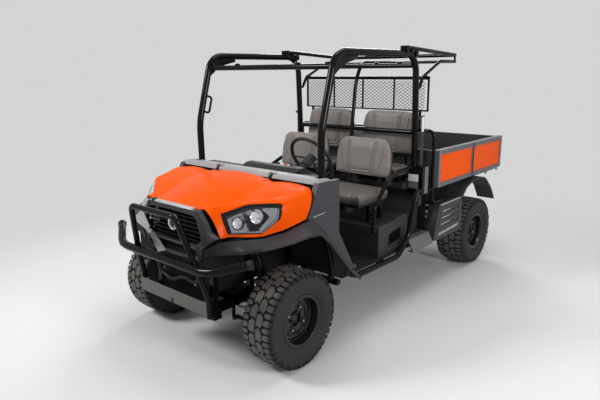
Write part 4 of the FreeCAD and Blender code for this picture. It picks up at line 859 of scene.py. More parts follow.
def tread_seed(half, depth, pitch):
    """One pitch of tread: staggered middle blocks and long shoulder lugs, about a centre at zero."""
    shape = bmesh.new()

    def spin(out, radius, angle):
        return Vector((out, radius * math.cos(angle), radius * math.sin(angle))) * 0.001

    def block(outline, low, high):
        middle = [sum(p[i] for p in outline) / len(outline) for i in (0, 1)]
        rings = []
        for radius, scale in ((low, 1.03), (high - 2.2, 0.99), (high, 0.94)):
            ring = []
            for out, turn in outline:
                o = middle[0] + (out - middle[0]) * scale
                t = middle[1] + (turn - middle[1]) * scale
                drop = 1.6 * (abs(o) / half) ** 2
                ring.append(shape.verts.new(spin(o, radius - drop, t * pitch)))
            rings.append(ring)
        for a, b in zip(rings, rings[1:]):
            for i in range(len(outline)):
                j = (i + 1) % len(outline)
                shape.faces.new((a[i], a[j], b[j], b[i]))
        shape.faces.new(rings[0][::-1])
        shape.faces.new(rings[-1])

    top = CROWN + depth * 1000
    for side in (1, -1):
        lag = 0.0 if side > 0 else 0.5
        block([(side * 4, lag - 0.4), (side * 30, lag - 0.5), (side * 52, lag - 0.3), (side * 56, lag + 0.22),
               (side * 38, lag + 0.44), (side * 24, lag + 0.3), (side * 4, lag + 0.42)][::side], 300, top)
        for start, width, reach in ((lag + 0.02, 0.42, 1.0), (lag + 0.52, 0.34, 0.72)):
            sections = [(61, 0.62, 300, top - 1), (78, 0.94, 299, top - 1.6), (half - 26, 1, 296, top - 4),
                        (half - 15, 1, 288, top - 10), (half - 8.5, 1, 276, top - 20)]
            if reach == 1.0:
                sections.append((half - 5, 0.8, 262, top - 42))
            rows = []
            for number, (out, share, low, high) in enumerate(sections):
                wide = width * share / 2
                reach_out = out + (3.6 if number > 2 else 0)
                if number == len(sections) - 1:
                    low, high = high - 6, high - 2
                    reach_out = out + 1.2
                row = []
                for turn, deep in ((-1.08, low), (-1.0, high - 2.4), (-0.84, high),
                                   (0.84, high), (1.0, high - 2.4), (1.08, low)):
                    push = out - 4 if deep == low and number > 2 else reach_out
                    row.append(shape.verts.new(spin(side * push, deep, (start + wide * turn) * pitch)))
                rows.append(row)
            for a, b in zip(rows, rows[1:]):
                for i in range(5):
                    shape.faces.new((a[i], a[i + 1], b[i + 1], b[i]))
                shape.faces.new((a[5], a[0], b[0], b[5]))
            shape.faces.new(rows[0])
            shape.faces.new(rows[-1][::-1])
    return to_mesh(shape, "tread", merge=0.000001)


class VEHICLE_OT_wheels(bpy.types.Operator):
    """Make the four treaded tyres"""
    bl_idname = "vehicle.wheels"
    bl_label = "Wheels"

    def execute(self, context):
        tyre = context.scene.vehicle_tyre
        pitch = 2 * math.pi / tyre.pitches
        ring = repeat_tree("Tread ring", "Tyre rubber")
        for end, y, middle, half in (("front", 0, 636, 127), ("rear", WHEELBASE, 622, 140)):
            seed = tread_seed(half, tyre.tread_depth, pitch)
            for side, sign in (("left", 1), ("right", -1)):
                centre = at(sign * middle, y, AXLE_Z)
                tread = grown(seed.copy(), ring, Count=tyre.pitches, Centre=centre)
                mesh = join_meshes(f"tyre_{end}_{side}_tread", [tyre_body(half, sign * middle, y), tread])
                made = new_object(f"treaded_tyre_{end}_{side}", mesh, "Tyre rubber", f"wheel_{end}_{side}",
                                  angle=40)
                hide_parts(f"tyre_{end}_{side}")
        return {"FINISHED"}


# Seats

def pad_shape(outline, depth, crown):
    """A closed pad drawn in its own plane: outline in (u, v), thickness along w, all in millimetres."""
    shape = bmesh.new()
    middle = [sum(p[i] for p in outline) / len(outline) for i in (0, 1)]
    rings = []
    for height, scale in ((0.0, 0.93), (0.12 * depth, 0.985), (0.5 * depth, 1.0), (0.85 * depth, 0.985),
                          (depth, 0.9), (depth + crown, 0.5)):
        rings.append([((middle[0] + (u - middle[0]) * scale) * 0.001,
                       (middle[1] + (v - middle[1]) * scale) * 0.001, height * 0.001) for u, v in outline])
    add_loft(shape, rings)
    return to_mesh(shape, "pad")


def places_of(mesh):
    """A mesh's corners as rows of x, y and z."""
    places = np.empty(len(mesh.vertices) * 3)
    mesh.vertices.foreach_get("co", places)
    return places.reshape(-1, 3)


def puff(mesh, settings, cap, skip):
    """Remesh a pad finely and let cloth under inner pressure settle it, its motion capped."""
    body = bpy.data.objects.new("pad_work", mesh)
    scene = bpy.context.scene
    scene.collection.objects.link(body)
    remesh = body.modifiers.new("voxels", "REMESH")
    remesh.mode = "VOXEL"
    remesh.voxel_size = settings.voxel
    dense = with_modifiers(body)
    body.modifiers.clear()
    body.data = dense
    if not skip:
        rest = places_of(dense)
        cloth = body.modifiers.new("cloth", "CLOTH")
        cloth.settings.use_pressure = True
        cloth.settings.uniform_pressure_force = settings.pressure
        cloth.settings.effector_weights.gravity = 0
        cloth.settings.quality = 4
        cloth.settings.mass = 0.3
        cloth.settings.tension_stiffness = 18
        cloth.settings.compression_stiffness = 18
        cloth.settings.bending_stiffness = 4
        cloth.collision_settings.use_collision = False
        for number in range(1, 21):
            scene.frame_set(number)
        settled = with_modifiers(body)
        body.modifiers.clear()
        scene.frame_set(1)
        shift = places_of(settled) - rest
        length = np.linalg.norm(shift, axis=1, keepdims=True)
        shift *= np.minimum(1.0, cap * 0.001 / np.maximum(length, 1e-9))
        settled.vertices.foreach_set("co", (rest + shift).ravel())
        body.data = settled
        body.modifiers.new("finer", "SUBSURF").levels = 1
        body.data = with_modifiers(body)
        body.modifiers.clear()
    mesh = body.data
    bpy.data.objects.remove(body)
    return mesh


def press_lines(mesh, lines, depth, width, top):
    """Press sewn channels into the pad's face, and a seam and the darker side cover around it."""
    seam_at, seam_half, seam_pull = top * 0.00056, 0.004, 0.0022
    places = places_of(mesh)
    near = np.full(len(places), 1.0)
    for line in lines:
        for a, b in zip(line, line[1:]):
            a, b = np.array(a) * 0.001, np.array(b) * 0.001
            way = b - a
            along = np.clip((places[:, :2] - a) @ way / (way @ way), 0, 1)
            near = np.minimum(near, np.linalg.norm(places[:, :2] - a - along[:, None] * way, axis=1))
    share = np.clip(near / (width * 0.001), 0, 1)
    face = places[:, 2] > top * 0.0006
    places[face, 2] -= (depth * (1 - share ** 2) ** 2)[face]
    away = np.abs(places[:, 2] - seam_at)
    pull = seam_pull * (1 - np.clip(away / seam_half, 0, 1) ** 2) ** 2
    way = places[:, :2] - places[:, :2].mean(axis=0)
    way /= np.maximum(np.linalg.norm(way, axis=1, keepdims=True), 1e-6)
    edge = away < seam_half
    places[edge, :2] -= (way * pull[:, None])[edge]
    mesh.vertices.foreach_set("co", places.ravel())
    for polygon in mesh.polygons:
        polygon.material_index = 1 if polygon.center.z < seam_at else 0
    mesh.update()


def mirror_line(points):
    """A line on the pad's other half."""
    return [(-u, v) for u, v in points]


BACK_OUTLINE = [
    (-262, 12), (-250, 0), (-120, -6), (120, -6), (250, 0), (262, 12), (268, 90), (262, 190), (240, 268),
    (205, 300), (150, 308), (-150, 308), (-205, 300), (-240, 268), (-262, 190), (-268, 90),
]
BACK_LINES = [
    [(-118, 262), (-96, 60), (-78, 42), (78, 42), (96, 60), (118, 262)],
    [(-140, 280), (-120, 42), (-96, 20), (96, 20), (120, 42), (140, 280)],
    [(172, 60), (196, 150), (214, 262)],
    mirror_line([(172, 60), (196, 150), (214, 262)]),
]
SEAT_OUTLINE = [
    (-262, 16), (-246, 2), (-120, -2), (120, -2), (246, 2), (262, 16), (268, 150), (262, 330), (248, 392),
    (120, 402), (-120, 402), (-248, 392), (-262, 330), (-268, 150),
]
SEAT_LINES = [
    [(-150, 392), (-132, 90), (-110, 66), (110, 66), (132, 90), (150, 392)],
    [(-196, 396), (-186, 60), (-160, 30), (160, 30), (186, 60), (196, 396)],
]


class VEHICLE_OT_seats(bpy.types.Operator):
    """Make the eight padded seat cushions with their pressed channels"""
    bl_idname = "vehicle.seats"
    bl_label = "Seats"

    def execute(self, context):
        settings = context.scene.vehicle_seat
        rear_back = [(u, v * 1.16) for u, v in BACK_OUTLINE]
        rear_back_lines = [[(u, v * 1.16) for u, v in line] for line in BACK_LINES]
        rear_seat = [(u, v * 0.58) for u, v in SEAT_OUTLINE]
        rear_seat_lines = [[(u, v * 0.58) for u, v in line] for line in SEAT_LINES]
        for name, node, outline, lines, thick, place, lean in (
            ("front_seat_cushion", "front_cushions", SEAT_OUTLINE, SEAT_LINES, (78, 8), (1253, 851), 0),
            ("front_seat_back", "front_backrests", BACK_OUTLINE, BACK_LINES, (66, 9), (1279, 1004), 82),
            ("rear_seat_cushion", "rear_cushions", rear_seat, rear_seat_lines, (68, 8), (1568, 1001), 0),
            ("rear_seat_back", "rear_backrests", rear_back, rear_back_lines, (56, 8), (1649, 1150), 87),
        ):
            self.pad(settings, name, node, outline, lines, thick, place, lean)
        return {"FINISHED"}

    def pad(self, settings, name, node, outline, lines, thick, place, lean):
        """The left and right pad of one kind: its place is (y, z), its lean in degrees, and 0 lies flat."""
        settle_cap, channel_width, side_x = 7, 9, 310
        depth, crown = thick
        mesh = puff(pad_shape(outline, depth, crown), settings, settle_cap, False)
        press_lines(mesh, lines, settings.channel, channel_width, depth)
        if not lean:
            mesh.transform(Matrix.Scale(-1, 4, (0, 1, 0)))
            mesh.flip_normals()
        # Flat cushions take the darker copy of the vinyl, which paints shade on their tops.
        cover = "Seat vinyl" if lean else "Shaded seat top"
        for side, sign in (("left", 1), ("right", -1)):
            placed = mesh.copy()
            spot = Matrix.Translation(at(sign * side_x, *place))
            placed.transform(spot @ Matrix.Rotation(math.radians(lean), 4, "X"))
            made = new_object(f"{name}_{side}", placed, (cover, "Seat side"), "chassis", angle=60)
        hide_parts(node)


# Screen behind the rear seats

class VEHICLE_OT_screen(bpy.types.Operator):
    """Make the framed expanded mesh behind the rear seats"""
    bl_idname = "vehicle.screen"
    bl_label = "Screen"

    def execute(self, context):
        sizes = context.scene.vehicle_screen
        y, half, low, high = 1685, 644, 1502, 1783
        bar, top_bar, thick = 13, 27, (y - 8, y + 8)
        seed = strand_seed(sizes.pitch, sizes.rise, sizes.strand, sizes.strand * 0.8)
        columns = int((2 * half - 34) * 0.001 / sizes.pitch)
        rows = int((high - low - 46) * 0.001 / sizes.rise)
        origin = at(-half + 17, y, low + 22) + Vector((sizes.pitch * 0.5, 0, 0))
        mesh = grown(seed, grid_tree("Expanded mesh", "Frame black"), Columns=columns, Rows=rows,
                     Step_X=sizes.pitch, Step_Z=sizes.rise, Origin=origin)
        frame_shape = bmesh.new()
        add_block(frame_shape, (-half, half), thick, (low, low + bar))
        add_block(frame_shape, (-half, half), thick, (high - top_bar, high))
        for x in (-half, half - bar):
            add_block(frame_shape, (x, x + bar), thick, (low, high))
        for x in (-318, 0, 318):
            add_block(frame_shape, (x - 5, x + 5), (y - 7, y + 7), (low + 5, high - 5), 1.5)
        leg = [(706, 1858, 741.4), (706, 1735, 741.4), (706, 1688, 800), (706, 1688, 1350)]
        hoop = [at(*p) for p in leg] + [at(-p[0], p[1], p[2]) for p in reversed(leg)]
        add_path(frame_shape, rounded(hoop, 60), 13, 14)
        for x in (570, -570):
            add_block(frame_shape, (x - 10, x + 10), thick, (1350, low + 5))
        for x in (HOOP_X, -HOOP_X):
            add_block(frame_shape, (x - 12, x + 12), thick, (high - 5, high + 5), 1)
        mesh = join_meshes("screen", [mesh, to_mesh(frame_shape, "screen_frame")])
        made = new_object("mesh_screen", mesh, "Frame black", "chassis", angle=30)
        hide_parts("cab_screen")
        return {"FINISHED"}


# Lamps and nose

LAMP_OUTLINE = [
    (345, -280, 996), (480, -194, 1068), (650, -61, 1074), (650, -82, 974), (600, -193, 904),
    (420, -308, 890),
]


def lens_patch(out):
    """The outer face of the left lamp's CAD solid, as a mesh of its own."""
    mesh = NODES["headlamps"].data
    shape = bmesh.new()
    for polygon in mesh.polygons:
        if polygon.center.x > 0 and polygon.normal.dot(out) > 0.5:
            shape.faces.new([shape.verts.new(mesh.vertices[i].co) for i in polygon.vertices])
    bmesh.ops.remove_doubles(shape, verts=shape.verts, dist=0.00003)
    return shape


def skin_between(shape, patch, out, high, low, index=0):
    """A closed skin between two depths below a patch, in millimetres."""
    top = {v: shape.verts.new(v.co - out * high * 0.001) for v in patch.verts}
    under = {v: shape.verts.new(v.co - out * low * 0.001) for v in patch.verts}
    faces = []
    for face in patch.faces:
        faces.append(shape.faces.new([top[v] for v in face.verts]))
        faces.append(shape.faces.new([under[v] for v in reversed(face.verts)]))
    for edge in patch.edges:
        if edge.is_boundary:
            a, b = edge.verts
            faces.append(shape.faces.new((top[a], top[b], under[b], under[a])))
    for face in faces:
        face.material_index = index
    bmesh.ops.recalc_face_normals(shape, faces=faces)


def border_loop(patch):
    """The patch's outer corners in order."""
    start = next(edge for edge in patch.edges if edge.is_boundary)
    loop, used = [start.verts[0]], {start}
    step = start.verts[1]
    while step is not loop[0]:
        loop.append(step)
        ahead = next(edge for edge in step.link_edges if edge.is_boundary and edge not in used)
        used.add(ahead)
        step = ahead.other_vert(step)
    return loop


class VEHICLE_OT_lamps(bpy.types.Operator):
    """Make the headlamps: clear lenses, dark housings, reflectors and silver trim"""
    bl_idname = "vehicle.lamps"
    bl_label = "Headlamps"

    def execute(self, context):
        corners = [at(*p) for p in LAMP_OUTLINE]
        middle = sum(corners, Vector()) / len(corners)
        out = (corners[4] - corners[0]).cross(corners[2] - corners[0]).normalized()
        along = (corners[2] - corners[0]).normalized()
        rise = out.cross(along)
        patch = lens_patch(out)
        if not patch.faces:
            raise RuntimeError("The headlamp's outer face wasn't found")
        tree = BVHTree.FromBMesh(patch)

        def spot(u, v, depth):
            """A place below the lens: along it, up it and in from its outer face."""
            where = middle + along * u * 0.001 + rise * v * 0.001 + out * 0.3
            hit = tree.ray_cast(where, -out)[0] or tree.find_nearest(where)[0]
            return hit - out * depth * 0.001

        lens = bmesh.new()
        skin_between(lens, patch, out, 0.0, 2.2)
        both_sides(lens)
        clear = finished(lens, "headlamp_lenses", "Lamp lens", "hood", 60)

        shape = bmesh.new()
        housing, chrome, black, glass, silver = range(5)
        skin_between(shape, patch, out, 41, 43, housing)
        rings = []
        for vert in border_loop(patch):
            inward = middle - vert.co
            inward = (inward - out * inward.dot(out)).normalized()
            rings.append([vert.co - out * depth * 0.001 + inward * side * 0.001
                          for depth, side in ((2.6, 0), (43, 0), (43, 3), (9, 3), (6, 7), (2.6, 7))])
        add_loft(shape, rings, housing, closed=True)

        def plate(outline, high, index, low=30):
            """A flat piece of trim between two depths, drawn as (along, up) on the lens."""
            add_loft(shape, [[spot(u, v, depth) for u, v in outline] for depth in (low, high)], index)

        plate([(-168, 40), (-24, 70), (160, 44), (138, -24), (38, -88), (-154, -60)], 30, silver, 34)
        plate([(-152, 34), (-70, 50), (-64, 34), (-146, 20)], 18, silver)
        plate([(60, 52), (150, 38), (130, -20), (104, -34), (88, 8), (64, 34)], 12, silver)
        plate([(36, -84), (100, -38), (84, -16), (62, -36), (24, -66)], 14, silver)
        plate([(-62, 34), (-44, 40), (-24, -30), (-44, -56)], 12, black)
        plate([(-168, 40), (-24, 70), (160, 44), (156, 34), (-26, 58), (-160, 28)], 10, black)
        plate([(-150, -56), (-60, -76), (-56, -66), (-146, -46)], 14, silver)
        aim = (out + Vector((0, -0.7, 0.05))).normalized()
        for u, v, radius in ((-104, -12, 33), (20, 6, 42)):
            centre = spot(u, v, 13)
            bowl = [(radius + 4, 0), (radius, 2), (radius * 0.86, -6), (radius * 0.6, -14),
                    (radius * 0.3, -19), (1, -20.5), (1, -23), (radius * 0.6, -19), (radius + 4, -8)]
            add_turned(shape, bowl, centre, aim, 40, chrome)
            add_turned(shape, bead(radius + 3, 2.4, 1), centre, aim, 40, black)
            add_turned(shape, dome(radius * 0.34, radius * 0.3, -18), centre, aim, 28, glass)
            for k in range(3):
                turn = math.radians(100 + 120 * k)
                side = (along * math.cos(turn) + rise * math.sin(turn)) * radius * 0.001
                add_rod(shape, centre - aim * 0.006 + side * 0.92, centre - aim * 0.012 + side * 0.3, 1.6, 8,
                        chrome)
        both_sides(shape)
        finished(shape, "headlamp_reflectors",
                 ("Splash liner", "Lamp chrome", "Black moulding", "Label white", "Lamp silver"), "hood", 40)
        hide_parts("headlamps")
        patch.free()

        skin = surface_of("hood")
        rim = bmesh.new()
        places = []
        for vert in rounded_loop(corners, 30):
            away = vert - middle
            away = (away - out * away.dot(out)).normalized()
            places.append(skin.find_nearest(vert + away * 0.0105 + out * 0.01)[0])
        add_path(rim, places, 3.6, 10, closed=True)
        both_sides(rim)
        finished(rim, "lamp_surrounds", "Orange paint", "hood", 60)
        return {"FINISHED"}


class VEHICLE_OT_nose(bpy.types.Operator):
    """Make the grille mesh, brow, side wedges and the ring in the middle"""
    bl_idname = "vehicle.nose"
    bl_label = "Nose"

    def execute(self, context):
        pitch, rise = 0.019, 0.0115
        weave = grid_tree("Grille mesh", "Black moulding")
        seed = strand_seed(pitch, rise, 0.0032, 0.006)
        fields = [
            grown(seed.copy(), weave, Columns=columns, Rows=rows, Step_X=pitch, Step_Z=rise,
                  Origin=at(x, -365, z))
            for columns, rows, x, z in ((29, 16, -276, 808), (25, 5, -238, 728))
        ]
        new_object("grille_mesh", join_meshes("grille_mesh", fields), "Black moulding", "chassis")

        shape = bmesh.new()
        brow_grey, dark, black, satin, chrome, tube, liner = range(7)
        brow = [(-404, 1026.4), (-406, 1032), (-401, 1038), (-390, 1040.5), (-379, 1040.5), (-378, 1026.4)]
        add_prism(shape, brow, -168, 216, "x", 1.2, brow_grey)
        add_prism(shape, brow, -216, -196, "x", 1.2, brow_grey)
        add_block(shape, (-196, -168), (-408, -376), (1026.4, 1046), 2, black)
        for sign in (1, -1):
            foot = [at(sign * x, -402, z) for x, z in (
                (228, 1030), (276, 1035), (328, 974), (362, 914), (414, 887), (322, 822), (300, 852),
                (268, 974))]
            crest = [at(sign * x, y, z) for x, y, z in (
                (230, -414, 1027), (272, -412, 1030), (322, -409, 971), (356, -407, 913), (404, -405, 886),
                (324, -410, 828), (304, -412, 853), (272, -414, 973))]
            # The two wedges are one moulding: the left one is dark as painted shade, the right one pale as a
            # painted highlight.
            add_loft(shape, [foot, crest], dark if sign > 0 else brow_grey)

        def slab(outline, y, thick, index):
            """A flat piece across the vehicle, drawn as (x, z), that stands forward of a place."""
            add_loft(shape, [[at(x, y - depth, z) for x, z in outline] for depth in (0, thick)], index)

        # Right side only: a pale face on the right wedge, pale as a painted highlight.
        slab([(-296, 952), (-403, 882), (-389, 861), (-260, 817), (-224, 851), (-260, 900)], -412, 6,
             brow_grey)
        slab([(-262, 812), (-240, 832), (-214, 832), (-200, 818), (-236, 800)], -408, 12, brow_grey)
        slab([(-244, 814), (-225, 828), (-179, 806), (-68, 717), (-155, 689), (-215, 764)], -404, 9, satin)
        ring = at(0, -391, 907)
        ahead = (0, -1, 0)
        add_turned(shape, bead(40, 4.5, 3, 12), ring, ahead, 56, chrome)
        add_turned(shape, bead(27, 2.2, 4, 10), ring, ahead, 48, chrome)
        add_turned(shape, dome(24, 7, 2), ring, ahead, 40, black)
        for x, z in ((-300, 832), (-262, 800), (262, 800), (300, 832)):
            add_rod(shape, at(x, -402, z), at(x, -407, z), 6, 6, black)

        tips = [at(sign * 669, -357, 771) for sign in (-1, 1)]
        bends = [at(sign * 446, -500, 705) for sign in (-1, 1)]
        add_path(shape, rounded([tips[0], *bends, tips[1]], 90, 8), 27, 24, tube)
        for tip, bend in zip(tips[::-1], bends[::-1]):
            way = (tip - bend).normalized() * 0.012
            add_rod(shape, tip - way, tip + way, 30, 24, black)
        for low, high in ((-430, -262), (262, 430)):
            add_prism(shape, [(low, 660), (high, 660), (high, 880), (low, 880)], -366, -363, "y", 0.5, liner)
        for x, z in ((-180, 560), (-120, 640), (60, 600), (150, 520), (210, 640)):
            add_rod(shape, at(x, -352, z), at(x, -362, z), 9, 12, satin)
        hose = [(-210, 660), (-210, 540), (-60, 500), (40, 560), (200, 540), (230, 640)]
        add_path(shape, rounded([at(x, -372, z) for x, z in hose], 60), 15, 14, black)
        lip = [(-250, 716), (-262, 752), (-240, 788), (0, 796), (240, 788), (262, 752), (250, 716)]
        add_path(shape, rounded([at(x, -404, z) for x, z in lip], 30), 5, 8, dark)
        finished(shape, "nose_trim", ("Brow grey", "Dark moulding", "Black moulding", "Satin metal",
                                      "Lamp chrome", "Frame black", "Splash liner"), "chassis", 40)
        return {"FINISHED"}


# Wheel fittings

class VEHICLE_OT_rims(bpy.types.Operator):
    """Add the pressed rings, lug bosses and nuts to the rims"""
    bl_idname = "vehicle.rims"
    bl_label = "Rims"

    def execute(self, context):
        bosses = repeat_tree("Lug ring", "Rim paint")
        nuts = repeat_tree("Nut ring", "Satin metal")
        turn = math.radians(61.6)
        count, circle = 4, 0.077
        for end, y in (("front", 0), ("rear", WHEELBASE)):
            for side, sign in (("left", 1), ("right", -1)):
                axis = (sign, 0, 0)
                centre = at(sign * HUB_X, y, AXLE_Z)
                spot = Vector((sign * 0.0268, circle * math.cos(turn), circle * math.sin(turn)))
                boss = bmesh.new()
                add_turned(boss, bead(25.5, 4.6, 0, 8), spot, axis, 28)
                add_turned(boss, dome(12.5, 3, 6), spot, axis, 6)
                nut = bmesh.new()
                add_turned(nut, dome(6.5, 3, 9), spot, axis, 12)
                lugs = [grown(to_mesh(boss, "boss"), bosses, Count=count, Centre=centre),
                        grown(to_mesh(nut, "nut"), nuts, Count=count, Centre=centre)]
                for number, mesh in enumerate(lugs):
                    mesh.polygons.foreach_set("material_index", [number] * len(mesh.polygons))
                shape = bmesh.new()
                shape.from_mesh(join_meshes("lugs", lugs))
                plate = [(53, 1.5), (53, 22), (60, 24.5), (98, 27), (105, 25), (108.5, 19), (109, 1.5)]
                add_turned(shape, plate, centre, axis, 72)
                for radius, tube, along in ((139, 3.4, 30), (147, 2.8, 50), (155, 2.8, 68), (166, 2.6, 87)):
                    add_turned(shape, bead(radius, tube, along, 8), centre, axis, 72)
                add_turned(shape, dome(24, 9, 18.5), centre, axis, 32)
                add_turned(shape, bead(27, 1.8, 18.5, 8), centre, axis, 36)
                valve = centre + Vector((sign * 0.05, 0.143 * math.cos(0.4), 0.143 * math.sin(0.4)))
                add_rod(shape, valve, valve + Vector((sign * 0.022, 0, 0)), 3.5, 10)
                finished(shape, f"rim_fittings_{end}_{side}", ("Rim paint", "Satin metal"),
                         f"wheel_{end}_{side}", 40)
        return {"FINISHED"}


# Body trim

def side_outline(shape, points, sign, face, proud, bevel=0.6, index=0):
    """A flat moulding on a side face of the body, drawn as (y, z)."""
    add_prism(shape, points, *span(sign, face - BURY, face - BURY + proud), "x", bevel, index)


def ribbon(points, wide):
    """A band of even width around a run of (y, z) places, as one closed outline."""
    out, back = [], []
    for i, (y, z) in enumerate(points):
        before = points[max(0, i - 1)]
        after = points[min(len(points) - 1, i + 1)]
        way = Vector((after[0] - before[0], after[1] - before[1])).normalized()
        out.append((y - way.y * wide / 2, z + way.x * wide / 2))
        back.append((y + way.y * wide / 2, z - way.x * wide / 2))
    return out + back[::-1]


class VEHICLE_OT_sides(bpy.types.Operator):
    """Dress the cowl, seat bases, sills and side boxes"""
    bl_idname = "vehicle.sides"
    bl_label = "Body sides"

    def execute(self, context):
        shape = bmesh.new()
        black, pale, satin, dark, grey = range(5)
        for sign in (1, -1):
            way = (sign, 0, 0)

            def band(points, wide, face, proud, bevel, index):
                """A raised line on a side face, drawn as (y, z)."""
                side_outline(shape, ribbon(points, wide), sign, face, proud, bevel, index)

            def screws(places, face, radius, sides=16):
                add_heads(shape, [(sign * face, y, z) for y, z in places], way, radius, 2.4, sides, black)

            band([(96, 967), (240, 973), (420, 985)], 2.6, COWL_SIDE, 0.5, 0, black)
            band([(156, 947), (272, 955)], 7, COWL_SIDE, 1.4, 0.5, pale)
            band([(408, 1140), (408, 800)], 3, COWL_SIDE, 0.5, 0, dark)
            screws([(352, 915), (470, 730)], COWL_SIDE, 6)

            opening = [(1112, 482), (1124, 606), (1146, 624), (1344, 668), (1366, 652), (1368, 484),
                       (1350, 468), (1130, 466), (1112, 482)]
            band(opening, 16, BASE_SIDE, 4, 1.2, grey)
            band([(1008, 678), (1010, 450)], 14, BASE_SIDE, 3, 1.2, dark)
            band([(1030, 676), (1238, 676), (1262, 700), (1418, 700)], 7, BASE_SIDE, 4, 1.2, grey)
            screws([(1060, 640), (1392, 470)], BASE_SIDE, 5)

            band([(1788, 716), (2172, 718)], 12, BOX_SIDE, 3, 1.2, satin)
            for low, high in ((640, 648), (585, 593), (530, 538)):
                louvre = [(1812, low), (1815, low + 15), (1990, high + 15), (1986, high)]
                side_outline(shape, louvre, sign, BOX_SIDE - 6.8, 5, 1, satin)
            band([(1768, 462), (2140, 478)], 22, BOX_SIDE, 3, 1.5, satin)
            ends = ([(1792, 505), (1808, 520), (1838, 682), (1826, 694), (1806, 694), (1764, 510)],
                    [(2150, 505), (2166, 494), (2186, 500), (2176, 690), (2160, 700), (2146, 684)])
            for outline in ends:
                side_outline(shape, outline, sign, BOX_SIDE, 2.5, 1, grey)
            screws([(1800, 704), (2168, 704), (1775, 440), (2186, 440)], BOX_SIDE, 5, 14)
        finished(shape, "side_trim",
                 ("Black moulding", "Pale trim", "Satin metal", "Dark moulding", "Moulded grey"), "chassis",
                 35)

        pitch, rise = 0.014, 0.0085
        weave = grid_tree("Side vent", "Black moulding")
        seed = strand_seed(pitch, rise, 0.0028, 0.003)
        slope = Matrix.Identity(4)
        slope[2][0] = 0.16
        turn = Matrix.Rotation(math.radians(90), 4, "Z")
        vents = []
        for sign in (1, -1):
            field = grown(seed.copy(), weave, Columns=13, Rows=11, Step_X=pitch, Step_Z=rise)
            field.transform(Matrix.Translation(at(sign * (BASE_SIDE - 2), 1146, 500)) @ turn @ slope)
            vents.append(field)
        new_object("side_vents", join_meshes("side_vents", vents), "Black moulding", "chassis")

        ribs = bmesh.new()
        for sign in (1, -1):
            for k in range(10):
                x = 604 + k * 4.2
                add_block(ribs, span(sign, x, x + 2), (1420, 1666), (506, 507.6), 0.4)
        for x in range(-560, 561, 70):
            add_block(ribs, (x - 4, x + 4), (640, 985), (CAB_FLOOR - BURY, CAB_FLOOR + 3), 1)
        finished(ribs, "floor_ribs", "Black moulding", "chassis", 35)
        return {"FINISHED"}


